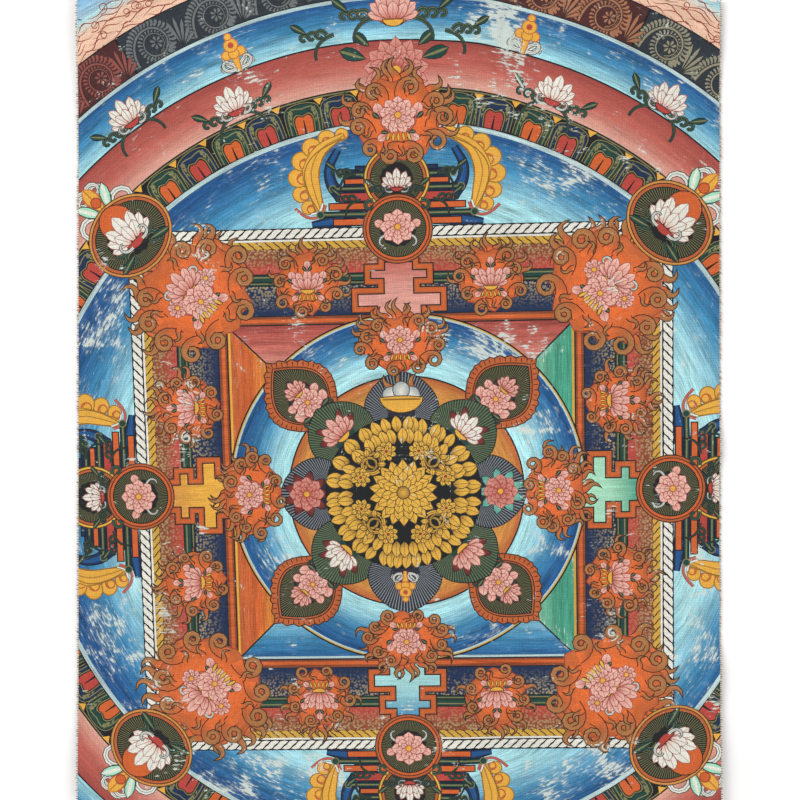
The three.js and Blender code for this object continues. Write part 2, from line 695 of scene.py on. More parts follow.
def lotus(art, spot, tones=ROSE_PETAL, base="marigold"):
    """A lotus seen from the side, about 9 mm wide and 7 mm high, on a seed base."""
    tone = veined(tones)
    for turn, length, width in ((74, 5.2, 2.3), (50, 5.8, 2.6), (25, 6.5, 2.8)):
        for half in spot.halves():
            art.petal(half.at(0.8, 0, -turn), length, width, tone)
    art.petal(spot, 7.2, 3.2, tone)
    for half in spot.halves():
        art.petal(half.at(0.9, -0.3, -27), 4.4, 2.5, tone)
    art.petal(spot.at(0, -0.5), 4.6, 2.7, tone)
    art.disc(spot.put(arc(2.5, 180, 360, 8, (0, 0.1), 0.72)), wash(base, line=0.26, streak=0.1))


def bud(art, spot, length):
    """A closed bud with its sepals."""
    art.petal(spot, length, length * 0.7, veined(ROSE_PETAL))
    for half in spot.halves():
        art.petal(half.at(0.2, -0.2, -34), length * 0.62, length * 0.34, LEAF, count=5)


LEAF = Wash("pine", line=0.24, core="khaki", core_share=0.2)
RED_LEAF = Wash("vermilion", "maroon", line=0.24)
SCROLL = Wash("khaki", line=0.26, core="pine", core_share=0.46)
RIBBON = Wash("chalk", line=0.26, core="grey_line", core_share=0.16, streak=0.05)
RED_STEM = Wash("rose_mid", edge="rust_ink", line=0.22)


def streamer(art, spot, length, turn, width=1.0):
    """A white ribbon that curls up at its end."""
    path = spot.put(hook(length, turn, late=1.7))
    art.stroke(path, np.linspace(1.25, 0.8, len(path)) * width * spot.size, RIBBON)


def cloud_curl(art, spot, length, turn, width, heading):
    """A dark green cloud scroll with a light edge."""
    path = spot.put(hook(length, turn, heading, 1.5, 10))
    art.stroke(path, np.linspace(1.0, 0.7, len(path)) * width * spot.size, SCROLL)


def cloud_bank(art, spot):
    """A low bank of three curls with a pointed leaf, about 9 mm long."""
    for x, length, turn in ((5.6, 4.6, 300), (3.4, 5.4, 310), (1.2, 6.0, 320)):
        cloud_curl(art, spot.at(x, 0.5), length, -turn, 1.25, heading=70)
    art.petal(spot.at(6.0, 1.6, -52), 4.8, 1.9, LEAF)
    cloud_curl(art, spot.at(-0.6, 0.3), 8.6, -95, 1.1, heading=-8)


FLAME = Wash((0.0, "flame"), (0.2, "amber"), (0.4, "tan"), line=0.3, streak=0.35)
FLAME_GLOW = Wash("flame", "flame", "amber", edge="rust_ink", line=0.26, streak=0.35)
FLAME_LINE = Wash("rust_ink", line=0.0)


def volute(length, turn, late=1.6, count=14):
    """A scroll's path, from its tail to its eye at (0, 0)."""
    path = hook(length, turn, 90, late, count)
    return path - path[-1]


def flame_scroll(art, spot, length, turn, width):
    """One cloudy tongue of flame that rolls up round the spot."""
    path = spot.put(volute(length, turn))
    widths = widths_along(path, (0, 0.3, 0.7, 1), (1.7, 1.0, 0.7, 0.6))
    art.stroke(path, width * widths * spot.size, FLAME)


def flame_tip(art, spot, length, sway, width):
    """One pointed tongue of flame that sways."""
    path = spot.put(lick(length, sway, count=8))
    widths = width * (1 - np.linspace(0, 1, len(path))) ** 0.7
    art.stroke(path, widths * spot.size, FLAME)


def flame_wreath(art, spot, half_width, half_height, chance, rolls, size):
    """A wreath of flames round a glowing middle. Its own up is where its tip points."""
    flames = np.array((half_width, half_height)) - 2.9 * size
    for half in spot.halves():
        for angle in np.linspace(-20, 84, 2 * rolls - 1):
            place = half.at(*(polar(1, angle) * flames), 0.5 * (angle - 90) + chance.uniform(-10, 10))
            flame_tip(art, place, size * chance.uniform(5.6, 8.0), chance.choice((-62, 62)), size * 2.3)
    flame_tip(art, spot.at(0, flames[1]), size * 7.5, 46, size * 2.6)
    count = 26
    lobes = 1 + 0.05 * np.array([chance.uniform(-1, 1) + (-1) ** k for k in range(count)])
    art.disc(spot.put(ring(1.0, count) * lobes[:, None] * (flames + 0.4 * size)), FLAME_GLOW)
    for k in range(rolls):
        for side, half in enumerate(spot.halves()):
            angle = 74 - 158 * (k + 0.2 + 0.4 * side) / rolls + chance.uniform(-5, 5)
            place = half.at(*(polar(1, angle) * flames), angle * (0.25 if angle > 0 else 0.9))
            turn = -chance.uniform(400, 500)
            flame_scroll(art, place, size * chance.uniform(11.5, 16), turn, size * 1.9)
    for k in range(9):
        angle = 40 * k + chance.uniform(-9, 9)
        place = spot.at(*(polar(0.66, angle) * flames), angle - 90 + chance.uniform(-30, 30))
        flame_tip(art, place, size * 4.4, chance.choice((-66, 66)), size * 1.5)


def flaming_lotus(art, spot, half_width, half_height, chance, size=1.0, kind=0, rolls=6):
    """A spray of pink lotuses with white streamers, in a wreath of flames."""
    flame_wreath(art, spot, half_width, half_height, chance, rolls, size)
    inside = spot.at(0, -0.08 * half_height, size=0.96 * size)
    for half in inside.halves():
        streamer(art, half.at(1.6, -1.6, -70), 7.0, 200, 1.0)
        art.curve(half, ((0.6, -1.4), (2.7, -1.9), (4.3, -0.2), (4.7, 1.8)), 0.7 * size, RED_STEM)
        if kind == 1:
            bloom(art, half.at(4.9, 2.4, size=0.56), ((8, 4.6, 3.2), (6, 3.0, 2.3)))
            streamer(art, half.at(2.6, 5.2, -20), 5.0, -260, 0.8)
        else:
            bud(art, half.at(4.7, 1.4, -14), 4.4)
        bud(art, half.at(2.6, -2.6, -122), 3.6)
    if kind == 2:
        bloom(art, inside.at(0, 2.2), ((9, 5.2, 3.4), (8, 3.9, 2.8), (6, 2.5, 1.9)))
    elif kind == 1:
        lotus(art, inside.at(0, 3.2, size=0.86))
        bloom(art, inside.at(0, -0.6), ((9, 4.4, 3.1), (7, 3.1, 2.4), (5, 1.9, 1.6)))
    else:
        lotus(art, inside.at(0, -0.8, size=1.06))
        bud(art, inside.at(0, 5.4), 4.0)
    for x in (-2.2, -1.1, 0, 1.1, 2.2):
        art.petal(inside.at(x, -2.0, 180 + x * 9), 3.0, 1.0, wash("gold", edge="ink", line=0.2), count=5)


def triple_gem(art, spot):
    """Three pale stones in a gold bowl, about 8 mm wide."""
    for x, turn in ((-1.6, 24), (0, 0), (1.6, -24)):
        flame_tip(art, spot.at(x, 2.2, turn), 3.4, 30, 1.5)
    for x, y in ((-1.8, 1.3), (1.8, 1.3), (0.0, 2.2)):
        art.disc(spot.put(ring(1.6, 12, (x, y))), wash("chalk", "chalk", "grey_line", line=0.24))
    bowl = np.vstack((arc(3.9, 180, 360, 12, (0, 0.9), 0.74), ((1.2, 1.2), (-1.2, 1.2))))
    art.disc(spot.put(bowl), wash("marigold", "gold", "marigold", gilt=0.3, line=0.3), spot.put((0, 0))[0])
    art.stroke(spot.put(((-3.3, 0.5), (3.3, 0.5))), 0.3 * spot.size, wash("gold_deep", line=0.0))


def crowned_gem(art, spot):
    """A gold jewel stand with white streamers, about 10 mm high."""
    for half in spot.halves():
        streamer(art, half.at(0.8, 0.6, -62), 7.0, 200, 1.0)
        streamer(art, half.at(0.8, 1.2, -40), 5.2, -190, 0.9)
        streamer(art, half.at(1.0, 0.2, -96), 6.0, 250, 0.95)
    gold = wash("marigold", edge="amber", line=0.3)
    art.stroke(spot.put(((0, -0.6), (0, 1.4), (0, 3.2))), np.array((1.2, 1.6, 2.2)) * spot.size, gold)
    for x, y, r in ((-1.8, 4.1, 1.45), (1.8, 4.1, 1.45), (0, 3.9, 1.5), (0, 6.1, 2.0), (0, 8.3, 1.1)):
        art.disc(spot.put(ring(r, 11, (x, y), 0.9)), gold)
    art.disc(spot.put(ring(0.8, 8, (0, 6.1))), wash("vermilion", edge="amber", line=0.3))


def white_lotus(art, spot):
    """A white lotus between dark cloud scrolls, about 13 mm wide."""
    for half in spot.halves():
        cloud_bank(art, half.at(1.4, -1.2))
    lotus(art, spot.at(0, 0.2, size=0.95), WHITE_PETAL, "vermilion")
    for half in spot.halves():
        streamer(art, half.at(1.6, -1.2, -108), 4.6, 230, 0.75)


def hair_disc(art, outline, ground, hair, reach, count, middle=None):
    """A dark form with fine hairs that point inwards from its rim."""
    art.disc(outline, wash(ground, core=hair, rays=reach, ray_count=count, line=0.3), middle)


# The picture, from its outer rings to its middle

def water_corners(art):
    """Water, mist and a pink cloud outside the rings."""
    far = 230.0
    ground = Wash((0.0, "sea_rim"), (0.35, "lagoon"), (1.0, "sea_deep"), way=from_middle(166, 196),
                  strokes=straight_strokes(24), streak=0.8, rub=0.25)
    art.fill(box(-far, -far, far, far), ground)
    chance = np.random.default_rng(SEED)
    for side in (-1, 1):
        corner = Spot(side * 92, 152, 0, 1, side > 0)
        for k in range(16):
            start = (chance.uniform(-18, 22), chance.uniform(-16, 10))
            path = corner.put(lick(chance.uniform(9, 17), 24, chance.uniform(2, 40), 9) + start)
            line = wash(("chalk", "sea_pale", "sea_deep")[k % 3], line=0.0)
            art.stroke(path, np.linspace(0.9, 0.1, len(path)), line)
        for x, y, r in ((-15, 8, 5.5), (-9, 11, 4.5), (-19, 2, 4.2)):
            art.disc(corner.put(ring(r, 22, (x, y), 0.8)), wash("blush_pale", edge="rust_ink", line=0.3))
            curl = hook(r * 2.4, 420, 20, 1.5, 14) + (x - r * 0.6, y - r * 0.3)
            art.stroke(corner.put(curl), 0.28, FLAME_LINE)


FERN_STRETCH = 29.2      # degrees of the ring that each stretch takes
FERN_STRETCHES = (  # where the stretch starts in degrees, its ground, its ferns
    (33.1, "slate", "fern_grey"),
    (62.3, "maroon", "fern_tan"),
    (91.5, "slate", "fern_slate"),
    (120.7, "maroon", "fern_red"),
)
FERN_LEAF = ((0.0, 0.0), (0.5, 0.6), (0.95, 1.5), (0.9, 2.3), (0.4, 2.6), (0.05, 2.1), (0.3, 1.4), (0.0, 0.6))


def fern_whorl(art, spot, paint):
    """A fern frond that rolls up, with knobbed leaves all along its back, about 15 mm wide."""
    leaf = wash(paint, edge="soot", line=0.16, streak=0.1)
    for turn, length in ((-62, 5.2), (-42, 6.4), (-24, 7.8), (-8, 8.6), (7, 8.4)):
        art.petal(spot.at(5.8, -1.8, turn), length, 1.15, leaf, point=0.3, waist=1.7, count=5)
    petal_ring(art, spot.at(0.1, 2.5), 7, 2.0, 1.0, leaf, point=0.3, waist=1.7, count=4)
    path = volute(40, -620, 1.5, 34)
    inner = len(path) // 2
    marks_along(art, spot.put(path[inner - 1:]), 0.78, [(np.array(FERN_LEAF) * 0.72, paint)])
    marks_along(art, spot.put(path[:inner + 1]), 0.88, [(np.array(FERN_LEAF), paint)])
    art.stroke(spot.put(path), np.linspace(1.2, 0.7, len(path)), wash(paint, edge="soot", line=0.26))


def scroll_ring(art):
    """Maroon and slate stretches with fern scrolls."""
    inner, outer = picture("sky"), picture("scrolls")
    art.fill(ring(outer, 240), "ink")
    whorls = 4
    for start, ground, paint in FERN_STRETCHES:
        low, high = start + 0.12, start + FERN_STRETCH - 0.12
        art.fill(np.vstack((arc(outer, low, high, 40), arc(inner, high, low, 40))),
                 Wash(ground, streak=0.3, strokes=round_strokes()))
        for k in range(whorls):
            angle = start + FERN_STRETCH * (k + 0.5) / whorls
            fern_whorl(art, facing_out(inner + 2.1, angle, 1.12), paint)


MIST_TURNS = (20, 160)                # degrees of the ring that the mist takes
MIST_LINES = ((44, 72), (108, 136))   # and those that have lines, which is all that the cloth shows of it


def mist_ring(art):
    """The pale peach ring with fine red waves and curls, outside the scrolls."""
    outer, inner = 168.5, picture("scrolls")
    start, stop = MIST_TURNS
    art.fill(np.vstack((arc(outer, start, stop, 120), arc(inner, stop, start, 120))),
             Wash((0.6, "peach"), (1.0, "sea_pale"), way=from_middle(inner, outer), strokes=round_strokes(),
                  streak=0.5))
    art.stroke(arc(inner, start, stop, 160), 0.4, "ink")
    chance = np.random.default_rng(SEED + 6)
    for low, high in MIST_LINES:
        for row in range(9):
            degrees = low + chance.uniform(0, 2)
            while degrees < high:
                reach = chance.uniform(2.2, 5.0)
                share = np.linspace(0, 1, 8)
                level = inner + 0.8 + 1.02 * row + 0.75 * np.sin(chance.uniform(0, 6) + 8 * share)
                turn = np.radians(degrees + reach * share)
                wave = np.column_stack((level * np.cos(turn), level * np.sin(turn)))
                art.stroke(wave, 0.3 * np.sin(np.pi * (0.08 + 0.86 * share)), FLAME_LINE)
                if row > 2 and chance.uniform() < 0.5:
                    place = Spot(*wave[-1], degrees - 90 + chance.uniform(-30, 30), chance.uniform(0.8, 1.3))
                    art.stroke(place.put(hook(7.5, chance.choice((-420, 420)), 0, 1.5, 13)), 0.24, FLAME_LINE)
                degrees += reach + chance.uniform(0.1, 1.2)


def arch(*left):
    """A round arch through points of its left side, the last of them at its top, and their mirror images."""
    left = np.array(left, float)
    return smooth(np.vstack((left, (left * (-1, 1))[-2::-1])), 2)


def panel_marks():
    """Two panels of the ring side by side, one green and one navy, each with its window."""
    pitch = 2 * math.pi * picture("field") / bpy.context.scene.picture_sizes.panel_count
    tall = picture("panels") - picture("field") - 0.5
    rows = []
    for k, (ground, pane) in enumerate((("pine", "orange"), ("navy", "vermilion"))):
        x = (k - 0.5) * pitch
        top = pitch * 0.53
        body = (x, 0) + arch((0.28 - pitch / 2, 0.1), (0.3 - top, tall * 0.66), (1.9 - top, tall - 1.0),
                             (0, tall - 0.3))
        light = arch((-4.1, 0.1), (-4.3, 5.4), (-3.0, 7.6), (0, 7.3)) + (x, 0)
        window = arch((-2.3, 0.1), (-2.6, 3.9), (-1.5, 5.3), (0, 4.8)) + (x, 0)
        rows += [(body, "khaki"), (inset(body, 0.26), "ink"), (inset(body, 0.52), ground)]
        rows += outline_rows(light, 0.34, "khaki")
        for side in (-1, 1):
            for y, reach in ((7.2, 1.7), (5.6, 1.5), (3.9, 1.2)):
                tuft = np.array(((3.0, y), (4.2, y + 0.2), (3.4, y - reach), (2.7, y - reach * 0.4)))
                rows.append((tuft * (side, 1) + (x, 0), "khaki"))
        for grow, tone in ((0.34, "ink"), (0.24, "khaki"), (0.12, "ink"), (0.0, pane)):
            rows.append((window + (window - (x, 2.4)) * grow, tone))
        rows.append((((x - 0.34, 0.1), (x + 0.34, 0.1), (x + 0.12, 4.0), (x - 0.12, 4.0)), "ink"))
        gap = x + pitch / 2
        rows.append((((gap - 1.4, tall - 0.1), (gap, tall - 2.0), (gap + 1.4, tall - 0.1)), "marigold"))
    return 2 * pitch, rows


def inset(outline, width):
    return outline + normals(outline, False) * width * (1 if outline[0][0] > outline[-1][0] else -1)


def outline_rows(outline, width, tone):
    """A line along an open outline, as rows of a mark."""
    half = normals(outline, False) * width / 2
    left, right = outline + half, outline - half
    return [(np.array((left[i], right[i], right[i + 1], left[i + 1])), tone) for i in range(len(outline) - 1)]


def rings(art):
    """Blue ring, rose ring, panel ring and the blue field inside it."""
    sky, rose, panels, field = (picture(name) for name in ("sky", "rose", "panels", "field"))
    strokes = round_strokes()
    blue = Wash((0.0, "sea_pale"), (0.45, "sea_mid"), (0.9, "sea_deep"), way=from_middle(rose, sky),
                strokes=strokes, streak=1.0, rub=0.9)
    red = Wash((0.0, "rose_pale"), (0.45, "rose_mid"), (1.0, "rose_deep"), way=from_middle(panels, rose),
               strokes=strokes, streak=0.4, rub=0.3)
    scuffed = Wash("sea_rim", streak=0.8, rub=0.7, strokes=strokes)
    for radius, tone in (
            (sky + 0.3, "ink"), (sky, scuffed), (sky - 1.0, blue), (rose + 0.35, "ink"), (rose - 0.1, red),
            (panels + 0.35, "ink"), (panels - 0.1, "khaki"), (panels - 0.45, "ink")):
        art.fill(ring(radius, 240), tone)
    pitch, rows = panel_marks()
    marks_along(art, ring(field, 720)[::-1], pitch, rows, closed=True)
    scuffed = Wash("sea_rim", streak=0.9, rub=0.75, strokes=strokes)
    water = Wash((0.3, "sea_pale"), (0.62, "sea_mid"), (0.9, "sea_deep"), strokes=strokes, streak=1.0,
                 way=from_middle(80, field, (3.5, 0)), rub=1.0)
    for radius, tone in ((field + 0.3, "ink"), (field, scuffed), (field - 1.3, water)):
        art.fill(ring(radius, 240), tone)


def ring_flowers(art):
    """White lotuses, jewels and streamers spread round the rings by even turns."""
    rose = (picture("rose") + picture("panels")) / 2
    sky = (picture("rose") + picture("sky")) / 2
    for degrees in (68.5, 112):
        white_lotus(art, facing_out(rose - 3.4, degrees, 1.15))
    for degrees in (55.5, 124.5):
        white_lotus(art, facing_out(sky - 4.0, degrees, 1.15))
    for degrees in (74, 82, 99, 109.5):
        place = facing_out(sky - 5.6, degrees, 1.18, degrees > 90)
        if degrees in (82, 99):
            cloud_bank(art, place.at(-3, 1.6))
        else:
            crowned_gem(art, place)
    for degrees in CORNERS:
        outward = facing_out(120.6, degrees, 1.34)
        for half in outward.halves():
            streamer(art, half.at(1.0, 0, -30), 13.5, -330, 1.3)
            streamer(art, half.at(2.0, -1.0, -78), 12.0, -330, 1.25)
            streamer(art, half.at(1.6, 1.6, -52), 10.0, 240, 1.2)
            streamer(art, half.at(0.4, 4.0, -12), 9.0, 280, 1.1)
        art.petal(outward.at(0, 1.0), 7.4, 3.6, wash("marigold", edge="amber", line=0.4, vein=0.2))
        art.disc(outward.put(ring(1.3, 12, (0, 4.0))), wash("orange", edge="rust_ink"))
        for half in outward.halves():
            art.petal(half.at(0.8, 0.4, -30), 7.0, 2.6, wash("jade_pale", core="chalk", core_share=0.3))


SLABS = (  # distance of the slab's foot from the rope, its height, its half width, its colour
    (0.3, 2.3, 19.0, "orange"),
    (2.8, 1.9, 22.6, "pine"),
    (4.9, 2.3, 20.2, "orange"),
    (7.4, 2.8, 17.0, "vermilion"),
    (10.4, 1.8, 18.8, "pine"),
    (12.4, 1.9, 15.4, "orange"),
    (14.5, 1.7, 16.6, "pine"),
    (16.4, 1.6, 12.2, "navy"),
)


PLUME_LOBES = (  # middle, radius and turn of each lobe of the plume
    (7.6, 6.0, 2.4, -60),
    (9.6, 10.0, 2.8, -70),
    (10.4, 14.8, 3.2, -80),
    (9.2, 19.6, 3.2, -50),
    (6.2, 23.6, 3.1, -30),
    (1.8, 26.2, 2.7, -10),
    (-2.6, 27.2, 2.1, 10),
)


def plume_guard(art, spot):
    """A blue scroll like a wave, with a gold plume, beside a gate's roof."""
    for x, y, r, turn in PLUME_LOBES:
        art.disc(spot.put(ring(r, 14, (x, y), 0.94)), wash("marigold", edge="gold_deep", line=0.34))
        curl = spot.at(x, y, turn, r).put(volute(3.6, -440, 1.2, 12))
        art.stroke(curl, np.linspace(0.5, 0.3, 12), wash("amber", line=0.0))
    art.curve(spot, ((3.4, 3.2), (5.6, 10.0), (6.6, 16.6), (3.6, 23.0), (-3.2, 26.8)),
              ((0, 0.5, 1), (2.4, 5.4, 1.8)), wash("marigold", edge="gold_deep", line=0.3, vein=0.16))
    for shift in (-0.26, 0.26):
        rib = ((3.4 + shift, 3.2), (5.6 + 7 * shift, 10.0), (6.4 + 8 * shift, 16.6), (3.4 + 6 * shift, 22.0),
               (-2.6, 26.0))
        art.curve(spot, rib, 0.34, wash("gold_deep", line=0.0))
    wave = ((6.8, 0.9), (1.0, 1.6), (-3.6, 2.6), (-2.4, 8.4), (0.6, 12.6), (1.2, 17.6), (-1.4, 22.8))
    blue = wash("navy", core="sea_deep", core_share=0.45)
    art.curve(spot, wave, ((0, 0.3, 0.5, 1), (1.8, 5.6, 4.4, 2.2)), blue, 4)
    art.curve(spot, ((2.6, 6.6), (3.8, 3.8), (6.4, 2.8), (9.0, 3.6), (11.6, 5.8)), 0.9, RED_STEM)
    art.curve(spot, ((3.4, 7.2), (4.4, 4.8), (6.9, 4.0)), 0.8, wash("chalk", edge="ink", line=0.16))
    curl = spot.put(hook(7.0, 400, 40, 1.2, 12) + (-1.8, 3.4))
    art.stroke(curl, 0.5, wash("chalk", line=0.0))


def gate_tower(art, turn):
    """The stepped roof over a gate, with a plume on each side."""
    foot = facing_out(picture("square_half") + 0.2, turn + 90)
    for half in foot.halves():
        plume_guard(art, half.at(18.4, 0))
    art.edged(foot.put(box(-15.6, 0.2, 15.6, 17.0)), "navy")
    for low, height, reach, tone in SLABS:
        art.edged(foot.put(box(-reach, low, reach, low + height)), tone)
        if tone == "pine":
            art.stroke(foot.put(((0.6 - reach, low + height / 2), (reach - 0.6, low + height / 2))), 0.4,
                       wash("khaki", line=0.0))
            for side in (-1, 1):
                art.disc(foot.put(ring(height * 0.66, 10, (side * reach, low + height / 2))),
                         wash("pine", edge="khaki", line=0.3))
    for half in foot.halves():
        for x, y in ((11.0, 7.6), (12.4, 15.4)):
            cloud_bank(art, half.at(x, y, size=0.85))


def rope_strand(width, pitch):
    """One strand of the rope, a slanted swelling stroke."""
    ahead = np.array(((pitch * 0.15, width * 0.2), (pitch * 0.86, width * 0.44)))
    spine = smooth(np.vstack((-ahead[::-1], ahead)), 2)
    share = np.linspace(0, 1, len(spine))
    half = normals(spine, False) * (pitch * 0.275 * np.sin(np.pi * share) ** 0.5)[:, None]
    return np.vstack((spine + half, (spine - half)[::-1][1:-1]))


def square_rope(art, half, strand, pitch, tone):
    """A twisted rope along all four sides."""
    side = np.column_stack((np.linspace(-half, half, 60), np.full(60, half)))
    for turn in SIDES:
        marks_along(art, Spot(0, 0, turn).put(side), pitch, [(strand, tone)])


def square_fills(art, half, *rows):
    """Squares inside one another. Each row is the distance in from the first one, and the paint."""
    for deep, tone in rows:
        edge = half - deep
        art.fill(box(-edge, -edge, edge, edge), tone)


WALL_LINES = (  # distance of each line of the wall from its outer side, its paint
    (7.3, "ink"),
    (7.65, "pine"),
    (8.1, "khaki"),
    (8.5, "pine"),
    (9.6, "ink"),
    (10.0, "khaki"),
    (10.35, "pine"),
    (10.7, "ink"),
)


def wall_square(art):
    """The two ropes, the wall band and the orange frame."""
    half = picture("square_half")
    pitch = picture("rope_pitch")
    square_fills(art, half, (-0.25, "ink"))
    square_rope(art, half - 1.4, rope_strand(2.7, pitch), pitch, "chalk")
    square_fills(art, half, (2.85, "ink"), (3.1, "chalk"), (3.7, "ink"))
    square_rope(art, half - 4.8, rope_strand(2.1, pitch * 0.9) * (-1, 1), pitch * 0.9, "rope_yellow")
    wall, foot = half - 5.95, picture("frame_half")
    for turn in SIDES:
        side = Spot(0, 0, turn)
        outer = between(*side.put(((0, wall), (0, wall - 7.2))))
        inner = between(*side.put(((0, wall - 11.0), (0, foot + 1.5))))
        red = Wash((0.4, "brick"), (0.8, "vermilion"), way=outer, streak=0.4,
                   dots=lambda p, way=outer: 1.0 - 0.85 * way(p))
        blue = Wash("navy", streak=0.3, dots=lambda p, way=inner: 1.0 - way(p))
        for deep, tone in ((0.0, red), *WALL_LINES, (11.0, blue)):
            edge = wall - deep
            art.fill(side.put(((-edge, edge), (0, 0), (edge, edge))), tone)
    square_fills(art, foot, (-0.25, "ink"))
    for deep, tone in ((0.0, "brick"), (0.7, "amber"), (0.85, "orange"), (1.8, "brick")):
        square_fills(art, foot, (deep, Wash(tone, streak=0.6)))
    for turn in CORNERS:
        mitre = Spot(0, 0, turn).put(((0, (foot - 2.4) * math.sqrt(2)), (0, foot * math.sqrt(2))))
        art.stroke(mitre, 0.4, "ink")
    square_fills(art, foot, (2.35, "ink"))


QUARTERS = (  # turn, paints from the frame inwards, a fine line along the frame
    (0, ("rose_deep", "rose_mid", "rose_pale"), None),
    (90, ("amber", "orange", "marigold"), "marigold"),
    (180, ("sea_deep", "sea_mid", "sea_pale"), "sea_rim"),
    (270, ("jade", "jade", "jade_pale"), "rope_yellow"),
)


def quarters(art):
    """The four coloured quarters, and the blue disc that covers most of them."""
    edge = picture("frame_half") - 2.75
    for turn, (outer, middle, inner), fine in QUARTERS:
        side = Spot(0, 0, turn)
        a, b = side.put(((0, edge), (0, edge - 17)))
        tone = Wash((0.0, outer), (0.4, middle), (0.95, inner), way=between(a, b), streak=0.8,
                    strokes=straight_strokes(turn), rub=0.55)
        art.fill(side.put(((-edge, edge), (0, 0), (edge, edge))), tone)
        if fine:
            ends = side.put(((-edge + 0.5, edge - 0.4), (edge - 0.5, edge - 0.4)))
            art.stroke(ends, 0.7, wash(fine, line=0.0))
    for turn in CORNERS:
        art.stroke(Spot(0, 0, turn).put(((0, 20), (0, edge * math.sqrt(2)))), 0.46, "ink")
    disc, middle = picture("disc"), (1.2, 1.0)
    strokes = round_strokes(middle)
    scuffed = Wash("sea_rim", strokes=strokes)
    blue = Wash((0.25, "sea_pale"), (0.55, "sea_mid"), (0.85, "sea_deep"), strokes=strokes, streak=1.0,
                way=from_middle(picture("inner_disc") - 1, disc, middle), rub=1.0)
    for deep, tone in ((0.0, "ink"), (0.45, "rope_yellow"), (0.8, scuffed), (1.3, blue)):
        art.fill(ring(disc - deep, 150, middle), tone)


GATES = (  # turn, paints from its foot outwards, how wide it is
    (0, ("blush", "blush", "rose_mid"), 1.22),
    (90, ("marigold", "marigold", "ochre"), 1.0),
    (180, ("aqua", "aqua", "sea_mid"), 1.0),
    (270, ("jade_pale", "jade_pale", "jade"), 1.0),
)
GATE_STEPS = (  # distance of the step's foot from the frame, half width of the opening there
    (0.0, 5.1),
    (4.0, 9.8),
    (7.2, 3.4),
    (12.2, 6.6),
    (14.2, 3.2),
    (16.6, 3.2),
)


def stepped_outline(grow, wide):
    """The stepped outline of a gate, grown on all sides."""
    right = []
    for (low, half), (high, _) in zip(GATE_STEPS[:-1], GATE_STEPS[1:]):
        right += [(half * wide + grow, low), (half * wide + grow, high)]
    points = np.array(right)
    for i in range(1, len(points) - 1, 2):
        points[i:i + 2, 1] += grow if points[i + 1][0] < points[i][0] else -grow
    points[-1][1] += grow
    return np.vstack((points, points[::-1] * (-1, 1)))


def gates(art):
    """Stepped gates in the middle of each side."""
    for turn, tones, wide in GATES:
        place = facing_out(picture("frame_half") - 1.2, turn + 90)
        for grow, tone in ((2.3, "ink"), (1.95, "amber"), (1.5, "orange"), (0.9, "amber"), (0.38, "ink")):
            art.fill(place.put(stepped_outline(grow, wide)), tone)
        a, b = place.put(((0, 0), (0, 17)))
        art.fill(place.put(stepped_outline(0.0, wide)), Wash(*tones, way=between(a, b), streak=0.5))


def wall_wreaths(art):
    """Flaming lotuses along the wall band, large at its corners and smaller between."""
    chance = np.random.default_rng(SEED + 1)
    for turn in SIDES:
        for x in (-27, 27):
            flaming_lotus(art, Spot(0, 0, turn).at(x, 63.6), 11.2, 11.4, chance, 0.9, rolls=4)
    for turn in CORNERS:
        flaming_lotus(art, facing_out(85.6, turn + 90), 20.5, 18.5, chance, 1.32, kind=1, rolls=5)


def roundel(art, spot, radius, rim, second):
    """A rimmed disc, ready for a flower in its middle."""
    art.disc(spot.put(ring(radius, 36)), wash(rim))
    art.disc(spot.put(ring(radius - 0.9, 34)), wash(second, line=0.3))
    hair_disc(art, spot.put(ring(radius - 1.9, 32)), "soot", "khaki", radius * 0.36, round(radius * 9))


def gate_roundels(art):
    """Two roundels over each gate, one on the ropes and one in the tower."""
    for turn in SIDES:
        out = facing_out(94.0, turn + 90)
        roundel(art, out, 9.8, "gold", "amber")
        white_lotus(art, out.at(0, -2.6, size=0.86))
        near = facing_out(79.4, turn + 90)
        roundel(art, near, 10.4, "amber", "orange")
        for half in near.halves():
            streamer(art, half.at(2.0, -2.0, -80), 6.4, -190, 0.9)
            bud(art, half.at(3.4, 0.4, -60), 4.0)
        bloom(art, near.at(0, 0.6), ((8, 5.4, 3.8), (7, 4.0, 3.0), (6, 2.6, 2.1)))
        for half in out.halves():
            cloud_curl(art, half.at(7.0, -6.2), 6.4, -300, 1.4, heading=10)


def corner_roundels(art):
    """Gold-rimmed ovals on the square's corners."""
    for turn in CORNERS:
        place = facing_out(112.0, turn + 90)
        for grow, tone in ((0.0, "ochre"), (0.9, "amber")):
            art.disc(place.put(ring(1, 40) * (13.6 - grow, 11.6 - grow)), wash(tone, line=0.3))
        hair_disc(art, place.put(ring(1, 36) * (11.6, 9.6)), "soot", "khaki", 4.4, 96)
        for half in place.halves():
            cloud_curl(art, half.at(2.4, -3.4), 10.0, -330, 1.7, heading=20)
            cloud_curl(art, half.at(3.2, -0.6), 9.0, -330, 1.6, heading=40)
            art.petal(half.at(3.0, -4.8, -104), 7.4, 2.6, LEAF)
        art.disc(place.put(ring(5.6, 22, (0, 5.4))), wash("orange", streak=0.4))
        lotus(art, place.at(0, -1.8, size=1.36), WHITE_PETAL, "vermilion")
        for half in place.halves():
            streamer(art, half.at(2.0, -3.0, -96), 6.6, 220, 1.0)


def petal_form(length, width, point, count=12, waist=1.0):
    """A broad petal's outline from its root at (0, 0) to its tip at (0, length)."""
    share = np.linspace(0, 1, count)
    half = width / 2 * np.sin(np.pi * share ** waist) ** (1 - point)
    right = np.column_stack((half, share * length))
    return np.vstack((right, (right * (-1, 1))[-2:0:-1]))


